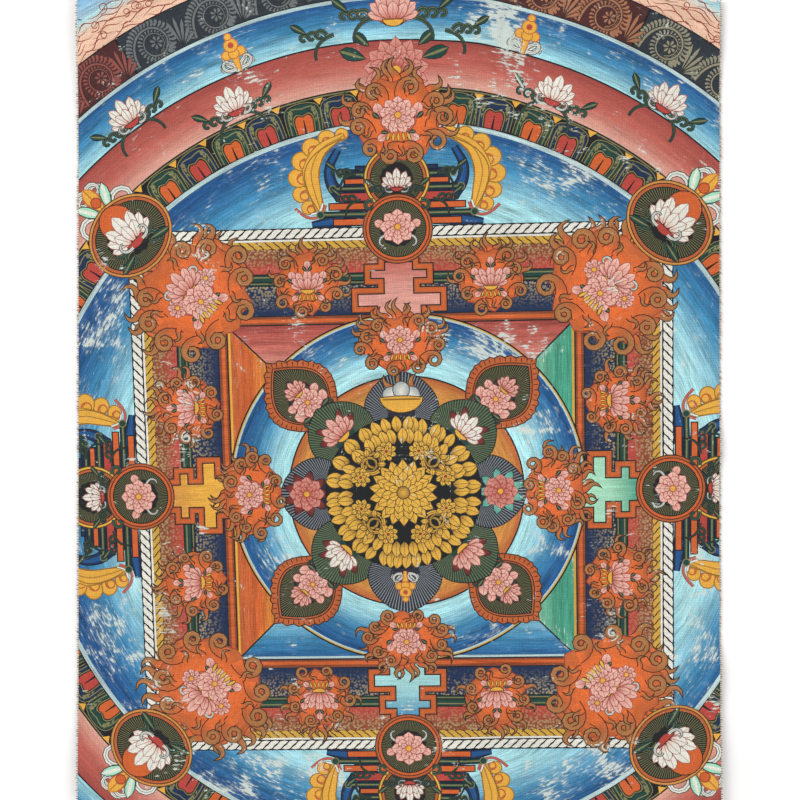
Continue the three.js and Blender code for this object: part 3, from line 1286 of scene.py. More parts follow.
def ochre_disc(art):
    """The ochre disc and the petals round the middle."""
    radius, middle = picture("inner_disc"), (0.9, 0.3)
    art.fill(ring(radius + 0.2, 100, middle), "ink")
    art.fill(ring(radius - 0.25, 100, middle),
             Wash((0.65, "ochre"), (1.0, "amber"), way=from_middle(24, radius, middle), streak=0.7,
                  strokes=round_strokes(middle)))
    for turn in CORNERS:
        place = facing_out(27.6, turn + 90)
        rim = petal_form(29.0, 22.6, 0.04, 26, 1.06)
        rim = rim * (1 + 0.03 * (np.arange(len(rim)) % 2))[:, None] - (0, 0.4)
        art.disc(place.put(rim), wash("flame", "amber", line=0.34), place.put((0, 15.0))[0])
        marks_along(art, place.put(petal_form(28.4, 21.8, 0.04, 22, 1.06)[1:-1]), 1.6,
                    [(np.array(((-0.14, 0), (0.14, 0), (0.1, 1.2), (-0.1, 1.2))), "ink")])
        art.disc(place.put(petal_form(24.6, 18.2, 0.04, 18, 1.06) + (0, 2.1)), wash("amber", line=0.34))
        hair_disc(art, place.put(petal_form(23.0, 16.8, 0.04, 18, 1.06) + (0, 2.8)), "soot", "khaki", 4.6, 96,
                  place.put((0, 14.0))[0])
        for half in place.halves():
            cloud_curl(art, half.at(1.6, 8.0), 9.4, -330, 1.2, heading=44)
            cloud_curl(art, half.at(1.6, 13.0), 7.4, 300, 1.1, heading=20)
            bud(art, half.at(2.2, 8.4, -50), 5.2)
            bud(art, half.at(2.4, 12.6, -64), 4.2)
        bloom(art, place.at(0, 12.0, 12), ((8, 4.8, 3.5), (7, 3.5, 2.6), (5, 2.2, 1.8)))
        lotus(art, place.at(0, 15.8, size=0.66))
    for turn in (0, 45, 90, 135, 180, 225, 270, 315):
        straight = turn % 90 == 0
        place = facing_out(14.0, turn + 90)
        form = petal_form(23.4, 22.6, 0.38, 14) if straight else petal_form(22.4, 21.4, 0.44, 14)
        ground, hair = ("plum", "grey_line") if straight else ("pine", "khaki")
        hair_disc(art, place.put(form), ground, hair, 8.6, 100, place.put((0, 7.0))[0])


def petal_gifts(art):
    """What lies on the eight petals: gems, flowers and buds."""
    triple_gem(art, facing_out(27.6, 90, 1.7))
    for degrees, leaf in ((180, RED_LEAF), (0, wash("aqua", "jade", line=0.24))):
        place = facing_out(29.0, degrees)
        petal_ring(art, place, 9, 7.4, 3.0, leaf, 0.5)
        bloom(art, place, ((8, 5.4, 3.9), (7, 4.0, 3.1), (6, 2.6, 2.1)), PEONY_PETAL)
    crowned_gem(art, facing_out(24.8, 270, 0.98))
    for turn, tones in ((45, WHITE_PETAL), (135, ROSE_PETAL), (225, WHITE_PETAL), (315, ROSE_PETAL)):
        place = facing_out(24.2, turn)
        for half in place.halves():
            art.petal(half.at(1.4, 1.2, -66), 6.4, 2.6, RED_LEAF)
            art.petal(half.at(1.0, 2.6, -38), 6.6, 2.4, RED_LEAF)
        lotus(art, place.at(0, 0.8, size=1.0), tones)


GILDED = Wash("gold_deep", "gold", "gold", edge="soot", line=0.26, vein=0.06, gilt=0.7)
GILDED_STEM = Wash("gold", edge="soot", line=0.26, gilt=0.7, core="gold_deep", core_share=0.2)


GOLD_FLOWER = (  # petals in each ring, their reach, their width, their turn as a share of one petal
    (18, 10.6, 3.4, 0),
    (14, 8.8, 3.4, 0.5),
    (11, 6.8, 3.2, 0),
    (8, 4.7, 2.7, 0.5),
)


def gold_middle(art):
    """The medallion: gold lotus scrolls on a dark ground."""
    chance = np.random.default_rng(SEED + 3)
    art.disc(ring(23.4, 60), wash("soot", line=0.4))
    for count, radius, length, width in ((46, 18.2, 5.6, 3.4), (40, 14.8, 5.4, 3.3)):
        for k in range(count):
            degrees = (k + 0.5 * (count < 40)) * 360 / count
            place = Spot(*polar(radius, degrees), degrees - 90 + chance.uniform(-22, 22))
            art.petal(place, length, width, GILDED, point=0.2, waist=1.0, count=6)
    for k in range(8):
        degrees = k * 45 + 22.5
        way = k % 2 > 0
        place = facing_out(13.4, degrees, 1.0, way)
        vine = hook(17.5, 430, 30, 1.25, 18) + (-3.6, -4.2)
        art.stroke(place.put(vine), np.linspace(1.5, 0.7, len(vine)), GILDED_STEM)
        for step in range(3, len(vine) - 3, 2):
            out = place.at(*vine[step], step * 22 - 130)
            art.petal(out, 3.0, 1.9, GILDED, point=0.2, waist=1.0, count=5)
        for count, reach, width, shift in ((8, 3.3, 2.2, 0), (6, 2.0, 1.5, 0.5)):
            petal_ring(art, place.at(0.4, 0.2), count, reach, width, GILDED, shift, point=0.4, waist=1.0)
        art.disc(place.put(ring(0.8, 8, (0.4, 0.2))), wash("rust_ink", edge="gold", line=0.26))
    for count, reach, width, shift in GOLD_FLOWER:
        petal_ring(art, Spot(0, 0), count, reach, width, GILDED, shift, point=0.45, waist=1.6)
    art.disc(ring(2.1, 16), wash("gold", "gold_deep", edge="soot", line=0.26, gilt=0.7))


def disc_wreaths(art):
    """Flaming lotuses on the blue disc, before the four gates."""
    chance = np.random.default_rng(SEED + 4)
    for turn in SIDES:
        flaming_lotus(art, facing_out(45.2, turn + 90), 14.0, 10.8, chance, 0.94, kind=2, rolls=5)


def crown(art):
    """The large wreath over the north gate, with a peony above it."""
    chance = np.random.default_rng(SEED + 5)
    for half in Spot(0, 0).halves():
        art.petal(half.at(8, 129.0, -72), 8.4, 4.0, LEAF)
        art.petal(half.at(7, 132.5, -48), 6.4, 3.2, LEAF)
        cloud_bank(art, half.at(5.2, 140.6, size=1.3))
    bloom(art, Spot(0.6, 125.6), ((13, 9.8, 4.8), (12, 7.8, 4.2), (10, 5.8, 3.6), (8, 3.8, 2.8)), PEONY_PETAL)
    flaming_lotus(art, Spot(0.8, 111.4), 15.6, 14.6, chance, 1.14, kind=2, rolls=5)
    art.disc(ring(5.6, 22, (0, 143.6)), wash("flame", streak=0.4))
    lotus(art, Spot(0, 140.2, 0, 1.3))


def paint_picture():
    """Lays every coat of the picture, the lowest first."""
    art = Painting()
    for layer in (water_corners, scroll_ring, mist_ring, rings):
        layer(art)
    for turn in SIDES:
        gate_tower(art, turn)
    for layer in (ring_flowers, wall_square, quarters, gates, wall_wreaths, gate_roundels, corner_roundels,
                  ochre_disc, disc_wreaths, petal_gifts, gold_middle, crown):
        layer(art)
    return art


# The cloth as one closed skin

def edge_points(step):
    """The cloth's cut outline, anticlockwise."""
    w, h = HIGH.x / MM, HIGH.y / MM
    corners = np.array(((-w, -h), (w, -h), (w, h), (-w, h)))
    sides = []
    for a, b in zip(corners, np.roll(corners, -1, axis=0)):
        count = max(2, round(np.hypot(*(b - a)) / step))
        sides.append(a + (b - a) * np.linspace(0, 1, count, endpoint=False)[:, None])
    return np.vstack(sides)


def grid_points(step, margin):
    """Rows of points that carry the folds."""
    w, h = HIGH.x / MM - margin, HIGH.y / MM - margin
    across, along = round(2 * w / step), round(2 * h / step)
    x, y = np.meshgrid(np.linspace(-w, w, across), np.linspace(-h, h, along))
    return np.column_stack((x.ravel(), y.ravel()))


def crease_points():
    """Rows of points along the creases, close enough to carry their section."""
    rows = []
    for course, _, half_width in CREASES:
        path = smooth(course, 8)
        side = normals(path, False)
        rows += [path + side * half_width * share for share in (-1.1, -0.55, 0.0, 0.55, 1.1)]
    points = np.vstack(rows)
    inside = (np.abs(points[:, 0]) < HIGH.x / MM - 1) & (np.abs(points[:, 1]) < HIGH.y / MM - 1)
    return points[inside]


def triangles_between(points, edges):
    """Joins all points into triangles that keep to the edges."""
    corners, _, tris, _, _, _ = geometry.delaunay_2d_cdt(
        [Vector(p) for p in points.tolist()], edges.tolist(), [], 0, 1e-5, False)
    return np.array([tuple(c) for c in corners]), np.array(tris)


class ToneGrid:
    """A fine grid over the cloth. Each coat leaves its number there, so it knows which coat is on top."""

    def __init__(self, step):
        self.step = step
        self.low = -np.array((HIGH.x, HIGH.y)) / MM
        self.shape = np.ceil(-2 * self.low[::-1] / step).astype(int)
        self.cells = np.zeros(self.shape, np.int32)

    def lay(self, corners, number):
        """Fills the cells inside an outline with a number."""
        x, y = ((corners - self.low) / self.step - 0.5).T
        x_next, y_next = np.roll(x, -1), np.roll(y, -1)
        first = np.clip(np.ceil(np.minimum(y, y_next)), 0, self.shape[0]).astype(int)
        last = np.clip(np.ceil(np.maximum(y, y_next)), 0, self.shape[0]).astype(int)
        spans = last - first
        total = spans.sum()
        if total == 0:
            return
        edge = np.repeat(np.arange(len(x)), spans)
        row = first[edge] + np.arange(total) - np.repeat(np.cumsum(spans) - spans, spans)
        share = (row - y[edge]) / (y_next - y)[edge]
        column = np.ceil(x[edge] + share * (x_next - x)[edge])
        column = np.clip(column, 0, self.shape[1]).astype(int)
        top, left = row.min(), column.min()
        high, wide = row.max() - top + 1, column.max() - left + 1
        crossings = np.bincount((row - top) * wide + column - left, minlength=high * wide).reshape(high, wide)
        inside = np.cumsum(crossings, axis=1)[:, :-1] & 1
        patch = self.cells[top:top + high, left:left + wide - 1]
        patch[inside.astype(bool)] = number

    def top(self, points):
        """The number on top at each point, and -1 off the cloth."""
        column, row = np.floor((points - self.low) / self.step).astype(int).T
        outside = (column < 0) | (row < 0) | (column >= self.shape[1]) | (row >= self.shape[0])
        column = np.clip(column, 0, self.shape[1] - 1)
        row = np.clip(row, 0, self.shape[0] - 1)
        return np.where(outside, -1, self.cells[row, column])


LOOK_STEP = 0.2       # distance from one look at an outline to the next
LOOK_ASIDE = 1.2      # how far to its sides it looks, in steps of the grid
SHORTEST_EDGE = 0.26  # a shorter stretch of an outline is left out


def seen_edges(placed, coats, zones, grid):
    """The stretches of the coats' outlines along which two zones meet, as pairs of ends."""
    rows = [np.column_stack((numbers, np.roll(numbers, -1))) for numbers in coats]
    ends = np.unique(np.sort(np.vstack(rows), axis=1), axis=0)
    start, along = placed[ends[:, 0]], placed[ends[:, 1]] - placed[ends[:, 0]]
    length = np.hypot(*along.T)
    count = np.maximum(1, np.ceil(length / LOOK_STEP)).astype(int)
    edge = np.repeat(np.arange(len(ends)), count)
    step = np.arange(len(edge)) - np.repeat(np.cumsum(count) - count, count)
    middle = start[edge] + along[edge] * ((step + 0.5) / count[edge])[:, None]
    aside = np.column_stack((-along[:, 1], along[:, 0])) / np.maximum(length, 1e-9)[:, None]
    aside = aside * LOOK_ASIDE * grid.step
    left, right = grid.top(middle + aside[edge]), grid.top(middle - aside[edge])
    seen = (zones[left] != zones[right]) & (left >= 0) & (right >= 0)
    before = np.concatenate(([False], seen[:-1])) & (step > 0)
    after = np.concatenate((seen[1:], [False])) & (step < count[edge] - 1)
    low = np.flatnonzero(seen & ~before)
    high = np.flatnonzero(seen & ~after)
    row = edge[low]
    first = np.where(step[low] == 0, 0, step[low] + 0.5) / count[row]
    last = np.where(step[high] == count[row] - 1, count[row], step[high] + 0.5) / count[row]
    kept = (last - first) * length[row] > SHORTEST_EDGE
    row, first, last = row[kept], first[kept], last[kept]
    starts = start[row] + along[row] * first[:, None]
    stops = start[row] + along[row] * last[:, None]
    return starts, stops


def turned_up(points, tris):
    """The same triangles, all anticlockwise."""
    a, b, c = (points[tris[:, i]] for i in range(3))
    cross = (b[:, 0] - a[:, 0]) * (c[:, 1] - a[:, 1]) - (b[:, 1] - a[:, 1]) * (c[:, 0] - a[:, 0])
    flipped = tris.copy()
    flipped[cross < 0] = flipped[cross < 0][:, ::-1]
    return flipped


def rim_loop(tris):
    """The numbers of the skin's edge points, in order."""
    ends = np.vstack((tris[:, (0, 1)], tris[:, (1, 2)], tris[:, (2, 0)]))
    forward = {(int(a), int(b)) for a, b in ends}
    follow = {a: b for a, b in forward if (b, a) not in forward}
    loop = [next(iter(follow))]
    while follow[loop[-1]] != loop[0]:
        loop.append(follow[loop[-1]])
    return loop


def corner_layers(washes, kinds, measures, tops, plan):
    """The paint, the lines and the brush's course at every corner of the painted triangles."""
    points = plan.reshape(-1, 2)
    rows = np.repeat(measures[tops], 3, axis=0)
    along = rows[:, 2:4] - rows[:, 0:2]
    length = np.hypot(*along.T)
    along = along / length[:, None]
    away = points - rows[:, 0:2]
    station = (away * along).sum(axis=1) / length
    aside = away[:, 0] * along[:, 1] - away[:, 1] * along[:, 0]
    half = rows[:, 4] + (rows[:, 5] - rows[:, 4]) * station
    to_rim = np.abs(aside) / np.maximum(half, 1e-6)
    run = np.where(rows[:, 6] < 0, to_rim, rows[:, 6] + (rows[:, 7] - rows[:, 6]) * station)
    layers = {name: np.zeros((len(points), 4)) for name in ("paint", "edge", "core", "handling")}
    layers.update({name: np.zeros((len(points), 3)) for name in ("stroke", "brush", "fine")})
    layers["stroke"][:, 0] = aside
    layers["stroke"][:, 1] = half
    kind = np.repeat(kinds[tops], 3)
    order = np.argsort(kind, kind="stable")
    ends = np.searchsorted(kind[order], np.arange(len(washes) + 1))
    for number, tone in enumerate(washes):
        mine = order[ends[number]:ends[number + 1]]
        if not len(mine):
            continue
        spots = points[mine]
        layers["paint"][mine, :3] = tone.colours(spots, run[mine])
        for name, (paint, width) in (("edge", tone.edge), ("core", tone.core)):
            layers[name][mine] = (*getattr(paints(), paint), width)
        layers["handling"][mine, :3] = tone.handled
        layers["handling"][mine, 3] = tone.dots(spots) if tone.dots else 0
        layers["fine"][mine] = tone.fine
        if tone.fine[1]:
            layers["brush"][mine, :2] = away[mine]
        elif tone.strokes:
            layers["brush"][mine, :2] = tone.strokes(spots)
        else:
            layers["brush"][mine, :2] = np.column_stack((station * length, aside))[mine]
    return layers


def rub_amount(points):
    """How worn the paint is, at points on the cloth."""
    amount = np.zeros(len(points))
    for middle, half_width, half_height, strength in RUBS:
        away = np.hypot((points[:, 0] - middle[0]) / half_width, (points[:, 1] - middle[1]) / half_height)
        amount = np.maximum(amount, strength * np.exp(-0.5 * (away * 1.35) ** 2))
    return amount


CELL = 0.06                       # step of the grid that finds the coat on top
RIM_GAP = 1.4                     # distance from the cut edge to the grid that carries the folds
BACK_STEP, BACK_GAP = 4.2, 3.0    # the same two measures for the plain back


def canvas_mesh():
    """The painted cloth: the picture on top, bare canvas on its edges and back."""
    art = paint_picture()
    placed = plan_to_cloth(np.vstack(art.points))
    half = np.array((HIGH.x, HIGH.y)) / MM
    grid = ToneGrid(CELL)
    washes = [wash("canvas")]
    kind_of = {id(washes[0]): 0}
    kinds, zones, measures, coats = [0], [0], [PLAIN], []
    for numbers, tone, measure in art.coats:
        corners = placed[numbers]
        if (corners.max(axis=0) > -half).all() and (corners.min(axis=0) < half).all():
            if id(tone) not in kind_of:
                kind_of[id(tone)] = len(washes)
                washes.append(tone)
            coats.append(numbers)
            kinds.append(kind_of[id(tone)])
            measures.append(measure)
            zones.append(kinds[-1] if measure is PLAIN else -len(coats))
            grid.lay(corners, len(coats))
    kinds, zones, measures = np.array(kinds), np.array(zones), np.array(measures)
    starts, stops = seen_edges(placed, coats, zones, grid)
    outline = edge_points(cloth().grid / MM)
    points = np.vstack((starts, stops, outline, grid_points(cloth().grid / MM, RIM_GAP), crease_points()))
    count = len(starts)
    edges = np.column_stack((np.arange(count), np.arange(count) + count))
    rim = np.arange(len(outline)) + 2 * count
    edges = np.vstack((edges, np.column_stack((rim, np.roll(rim, -1)))))
    points, tris = triangles_between(points, edges)
    middle = points[tris].mean(axis=1)
    tris = turned_up(points, tris[(np.abs(middle) < half).all(axis=1)])
    tops = grid.top(points[tris].mean(axis=1))
    used, tris = np.unique(tris, return_inverse=True)
    points, tris = points[used], tris.reshape(-1, 3)
    loop = rim_loop(tris)
    back = np.vstack((points[loop], grid_points(BACK_STEP, BACK_GAP)))
    rim = np.arange(len(loop))
    back, back_tris = triangles_between(back, np.column_stack((rim, np.roll(rim, -1))))
    back_tris = turned_up(back, back_tris)[:, ::-1]
    layers = corner_layers(washes, kinds, measures, tops, cloth_to_plan(points)[tris])
    return assemble(points, tris, layers, loop, back, back_tris)


def assemble(points, tris, layers, loop, back, back_tris):
    """Joins the painted side, the back and the cut edges into one closed mesh."""
    low = underside(points)
    high = low + cloth().thickness / MM + top_relief(points)
    front = np.column_stack((points, high))
    rear = np.column_stack((back, underside(back)))
    keys = {(round(x, 4), round(y, 4)): i for i, (x, y) in enumerate(back)}
    below = [len(points) + keys[(round(points[i][0], 4), round(points[i][1], 4))] for i in loop]
    sides = []
    for k, i in enumerate(loop):
        j = (k + 1) % len(loop)
        sides += [(i, below[k], below[j]), (i, below[j], loop[j])]
    faces = np.vstack((tris, back_tris + len(points), np.array(sides)))
    mesh = bpy.data.meshes.new(CLOTH_NODE)
    mesh.vertices.add(len(front) + len(rear))
    mesh.vertices.foreach_set("co", (np.vstack((front, rear)) * MM).ravel())
    mesh.loops.add(len(faces) * 3)
    mesh.loops.foreach_set("vertex_index", faces.ravel())
    mesh.polygons.add(len(faces))
    mesh.polygons.foreach_set("loop_start", np.arange(0, len(faces) * 3, 3))
    mesh.polygons.foreach_set("loop_total", np.full(len(faces), 3))
    mesh.update(calc_edges=True)
    bare = len(faces) * 3 - len(layers["paint"])
    for name, values in layers.items():
        wide = values.shape[1]
        rest = np.zeros((bare, wide))
        if name == "paint":
            rest[:, :3] = tuple(paints().canvas)
        if name == "stroke":
            rest[:, 1] = FAR
        kind, field = ("FLOAT_COLOR", "color") if wide == 4 else ("FLOAT_VECTOR", "vector")
        layer = mesh.attributes.new(name, kind, "CORNER")
        layer.data.foreach_set(field, np.vstack((values, rest)).astype(np.float32).ravel())
    layer = mesh.attributes.new("rub", "FLOAT", "POINT")
    layer.data.foreach_set("value", np.concatenate((rub_amount(points), np.zeros(len(back)))))
    mesh.shade_smooth()
    mesh.set_sharp_from_angle(angle=math.radians(50))
    return mesh


# Materials

def plug(value, entry):
    """Puts a number, a colour or a field into a node's input."""
    if isinstance(value, Field):
        value.tree.links.new(value.socket, entry)
    else:
        entry.default_value = (*value, 1.0) if isinstance(value, tuple) else value


def plug_in(node, entries):
    """The same for several of a node's inputs, by name."""
    for name, value in entries.items():
        plug(value, node.inputs[name])


def reckon(tree, operation, *values):
    """A math node over numbers and fields."""
    node = tree.nodes.new("ShaderNodeMath")
    node.operation = operation
    for entry, value in zip(node.inputs, values):
        plug(value, entry)
    return Field(tree, node.outputs[0])


class Field:
    """What a node puts out: a number, a vector or a colour that changes over the surface."""

    def __init__(self, tree, socket):
        self.tree = tree
        self.socket = socket

    def __add__(self, other):
        return reckon(self.tree, "ADD", self, other)

    def __sub__(self, other):
        return reckon(self.tree, "SUBTRACT", self, other)

    def __rsub__(self, other):
        return reckon(self.tree, "SUBTRACT", other, self)

    def __mul__(self, other):
        return reckon(self.tree, "MULTIPLY", self, other)

    def __truediv__(self, other):
        return reckon(self.tree, "DIVIDE", self, other)

    def __abs__(self):
        return reckon(self.tree, "ABSOLUTE", self)

    def ramp(self, low, high):
        """0 below low and 1 above high, each a number or a field."""
        node = self.tree.nodes.new("ShaderNodeMapRange")
        node.interpolation_type = "SMOOTHSTEP"
        plug_in(node, {"Value": self, "From Min": low, "From Max": high})
        return Field(self.tree, node.outputs["Result"])

    def scaled(self, factor):
        """A colour made lighter or darker."""
        node = self.tree.nodes.new("ShaderNodeVectorMath")
        node.operation = "SCALE"
        plug(self, node.inputs[0])
        plug(factor, node.inputs["Scale"])
        return Field(self.tree, node.outputs[0])

    def parts(self):
        """The three parts of a vector."""
        node = self.tree.nodes.new("ShaderNodeSeparateXYZ")
        plug(self, node.inputs[0])
        return [Field(self.tree, output) for output in node.outputs]

    def noise(self, *stretch, detail=3.0, rough=0.55, distort=0.0):
        """Noise over a vector that is first stretched, by one number or by three."""
        mapping, node = new_nodes(self.tree, "ShaderNodeMapping", "ShaderNodeTexNoise")
        plug_in(mapping, {"Vector": self, "Scale": Vector(stretch if len(stretch) == 3 else stretch * 3)})
        plug_in(node, {"Vector": Field(self.tree, mapping.outputs["Vector"]), "Scale": 1.0, "Detail": detail,
                       "Roughness": rough, "Distortion": distort})
        return Field(self.tree, node.outputs["Fac"])


def mix(share, a, b):
    """A mix of two colours, each a field or a plain colour. Its share is a field."""
    node = share.tree.nodes.new("ShaderNodeMix")
    node.data_type = "RGBA"
    for entry, value in zip((node.inputs[0], node.inputs[6], node.inputs[7]), (share, a, b)):
        plug(value, entry)
    return Field(share.tree, node.outputs[2])


def attribute(tree, name, output="Vector"):
    node = tree.nodes.new("ShaderNodeAttribute")
    node.attribute_name = name
    return Field(tree, node.outputs[output])


def object_place(tree):
    return Field(tree, tree.nodes.new("ShaderNodeTexCoord").outputs["Object"])


def new_material(name):
    material = bpy.data.materials.new(name)
    material.use_nodes = True
    tree = material.node_tree
    tree.nodes.clear()
    shader, output = new_nodes(tree, "ShaderNodeBsdfPrincipled", "ShaderNodeOutputMaterial")
    tree.links.new(shader.outputs[0], output.inputs["Surface"])
    return material, tree, shader


def weave_group():
    """Plain weave: threads that go over and under each other, and how high each point of them stands."""
    name = "plain_weave"
    if name in bpy.data.node_groups:
        return bpy.data.node_groups[name]
    tree = bpy.data.node_groups.new(name, "ShaderNodeTree")
    group_sockets(tree, "INPUT", ("Vector", "Vector"), ("Pitch", "Float"))
    group_sockets(tree, "OUTPUT", ("Height", "Float"), ("Slub", "Float"))
    entry, leave = new_nodes(tree, "NodeGroupInput", "NodeGroupOutput")
    place, pitch = (Field(tree, entry.outputs[label]) for label in ("Vector", "Pitch"))
    wander = place.noise(90, detail=2.0)
    across, along, _ = place.parts()
    warp_swing, weft_swing = (reckon(tree, "SINE", (way / pitch + wander * 3.6) * math.pi)
                              for way in (across, along))
    over = warp_swing * weft_swing
    warp = abs(warp_swing) * over.ramp(-0.5, 0.5)
    weft = abs(weft_swing) * (over * -1.0).ramp(-0.5, 0.5)
    plug(reckon(tree, "MAXIMUM", warp, weft), leave.inputs["Height"])
    slubs = place.noise(140, 1500, 1, detail=2.0) + place.noise(1500, 140, 1, detail=2.0)
    plug(slubs * 0.5, leave.inputs["Slub"])
    return tree


def drawn_paint(tree, place):
    """The paint with its core, rays, vein and edge line, all a little uneven as from a brush."""
    stroke_aside, half_width, _ = attribute(tree, "stroke").parts()
    vein, ray_reach, ray_count = attribute(tree, "fine").parts()
    east, north, _ = attribute(tree, "brush").parts()
    edge, line = attribute(tree, "edge", "Color"), attribute(tree, "edge", "Alpha")
    core, core_share = attribute(tree, "core", "Color"), attribute(tree, "core", "Alpha")
    aside = abs(stroke_aside)
    wobble = place.noise(900, detail=2.0) - 0.5
    inset = half_width - aside + wobble * 0.16
    share = aside / reckon(tree, "MAXIMUM", half_width, 0.01)
    in_core = 1.0 - share.ramp(core_share - 0.05, core_share + 0.05)
    colour = mix(in_core * core_share.ramp(0.05, 0.1), attribute(tree, "paint", "Color"), core)

    turns = reckon(tree, "ARCTAN2", east, north) / (2 * math.pi) * ray_count
    swing = abs(reckon(tree, "FRACT", turns) - 0.5)
    ray_length = ray_reach * (wobble * 0.5 + 0.9)
    in_reach = 1.0 - inset.ramp(ray_length - 0.3, ray_length)
    colour = mix((1.0 - swing.ramp(0.10, 0.24)) * in_reach * 0.85, colour, core)

    in_vein = (1.0 - (aside - vein).ramp(-0.02, 0.06)) * vein.ramp(0.0, 0.02)
    colour = mix(in_vein * 0.75, colour, edge)
    in_line = (1.0 - inset.ramp(line - 0.06, line + 0.05)) * line.ramp(0.02, 0.05)
    return mix(in_line * 0.92, colour, edge)


def brushed(colour, strokes, course, streak):
    """Light and dark streaks of the brush, with a little pale paint dragged over the ridges."""
    wide = course.noise(0.05, 0.55, 1, rough=0.5)
    colour = colour.scaled((strokes + wide * 0.6 - 0.8) * streak * 2.2 + 1.0)
    return mix(strokes.ramp(0.56, 0.78) * (streak * 0.24), colour, tuple(paints().sea_rim))


def stippled(colour, place, dots):
    """Small straw dots, where the coat has them."""
    cells = place.tree.nodes.new("ShaderNodeTexVoronoi")
    plug_in(cells, {"Vector": place, "Scale": 1250.0, "Randomness": 0.8})
    dot = 1.0 - Field(place.tree, cells.outputs["Distance"]).ramp(0.32, 0.56)
    return mix(dot * (dots * 0.8), colour, tuple(paints().straw))


def painted_material():
    """Glue paint on primed cotton: brush streaks, stipple, wear down to the ground, the weave, and painted
    shade in the hollows between its threads.
    """
    material, tree, shader = new_material("painted_cotton")
    place = object_place(tree)
    course = attribute(tree, "brush")
    streak, rub_share, gilt = attribute(tree, "handling", "Color").parts()
    weave = tree.nodes.new("ShaderNodeGroup")
    weave.node_tree = weave_group()
    plug_in(weave, {"Vector": place, "Pitch": cloth().thread_pitch})
    height, slub = (Field(tree, weave.outputs[name]) for name in ("Height", "Slub"))

    strokes = course.noise(0.12, 3.4, 1, detail=5.0, rough=0.66)
    colour = brushed(drawn_paint(tree, place), strokes, course, streak)
    colour = stippled(colour, place, attribute(tree, "handling", "Alpha"))
    # Painted shade: the colour is darker where the weave's threads lie low between their crossings, with a
    # fine random speckle on top.
    weave_shade_and_speckle = (height * 0.16 + 0.88) * (place.noise(1900, detail=1.0) * 0.44 + 0.78)
    shade = place.noise(34, detail=4.0) * 0.30 + 0.82
    colour = colour.scaled(shade * weave_shade_and_speckle * (slub * 0.34 + 0.83))

    flecks = course.noise(0.34, 1.5, 1, detail=5.0, rough=0.66, distort=0.3)
    patches = place.noise(150, detail=4.0, rough=0.62, distort=0.5)
    drift = place.noise(38, distort=0.3)
    amount = attribute(tree, "rub", "Fac") * reckon(tree, "POWER", rub_share, 0.5)
    level = flecks * 0.42 + patches * 0.38 + drift * 0.2 + amount * 0.150
    worn = level.ramp(0.600, 0.616) * rub_share.ramp(0.05, 0.1)
    haze = level.ramp(0.54, 0.62) * (rub_share * 0.3)
    ground = tuple(paints().gesso)
    # Where the paint is worn through, the bare ground is chalk white on the threads' crowns and
    # canvas-coloured in the hollows between them, partly painted shade.
    colour = mix(worn * 0.88, mix(haze, colour, ground), mix(weave_shade_and_speckle, tuple(paints().canvas), ground))

    bump = tree.nodes.new("ShaderNodeBump")
    relief = height + strokes * 0.5 - worn * 0.4
    plug_in(bump, {"Strength": 0.42, "Distance": 0.00016, "Height": relief})
    plug_in(shader, {"Base Color": colour, "Roughness": 0.86 - gilt * 0.42, "Metallic": gilt * 0.35,
                     "Specular IOR Level": 0.25, "Normal": Field(tree, bump.outputs["Normal"])})
    return material


def thread_material():
    """Loose cotton: a little uneven in colour along each thread."""
    material, tree, shader = new_material("cotton_thread")
    dark = tuple(0.6 * channel for channel in paints().canvas)
    colour = mix(object_place(tree).noise(700), dark, tuple(paints().canvas))
    plug_in(shader, {"Base Color": colour, "Roughness": 0.95, "Specular IOR Level": 0.15})
    return material


def floor_material():
    material, tree, shader = new_material("pale_floor")
    colour = mix(object_place(tree).noise(4, detail=2.0), (0.90, 0.90, 0.90), (0.93, 0.93, 0.93))
    plug_in(shader, {"Base Color": colour, "Roughness": 0.9})
    return material


# Cut threads along the edges

def threads_tree():
    """Short thread ends that stand out of a path, with their lengths and aims a little uneven."""
    tree = bpy.data.node_groups.new("cut_thread_ends", "GeometryNodeTree")
    group_sockets(tree, "INPUT", ("Path", "Geometry"), ("Finish", "Material"), ("Pitch", "Float", 0.00068),
                  ("Length", "Float", 0.0007), ("Radius", "Float", 0.0002), ("Shortest", "Float", 0.5),
                  ("Seed", "Int", SEED))
    group_sockets(tree, "OUTPUT", ("Threads", "Geometry"))
    entry, leave, lean, lean_turn, turn, reach, spine, section, stub, spread = new_nodes(
        tree, "NodeGroupInput", "NodeGroupOutput", "FunctionNodeRandomValue", "FunctionNodeEulerToRotation",
        "FunctionNodeRotateRotation", "ShaderNodeCombineXYZ", "GeometryNodeCurvePrimitiveLine",
        "GeometryNodeCurvePrimitiveCircle", "GeometryNodeCurveToMesh", "FunctionNodeRandomValue")
    copies, aim = path_copies(tree, entry, leave, "Threads")
    lean.data_type = "FLOAT_VECTOR"
    shown(lean.inputs, "Min").default_value = (-0.2, -0.2, -0.45)
    shown(lean.inputs, "Max").default_value = (0.1, 0.2, 0.45)
    turn.rotation_space = "LOCAL"
    section.inputs["Resolution"].default_value = 6
    stub.inputs["Fill Caps"].default_value = True
    spread.data_type = "FLOAT"
    join_nodes(
        tree,
        (entry, "Seed", lean, "Seed"),
        (lean, "Value", lean_turn, "Euler"),
        (aim, "Rotation", turn, "Rotation"),
        (lean_turn, "Rotation", turn, "Rotate By"),
        (turn, "Rotation", copies, "Rotation"),
        (entry, "Length", reach, "Y"),
        (reach, "Vector", spine, "End"),
        (entry, "Radius", section, "Radius"),
        (spine, "Curve", stub, "Curve"),
        (section, "Curve", stub, "Profile Curve"),
        (stub, "Mesh", copies, "Instance"),
        (entry, "Shortest", spread, "Min"),
        (entry, "Seed", spread, "Seed"),
        (spread, "Value", copies, "Scale"),
    )
    return tree


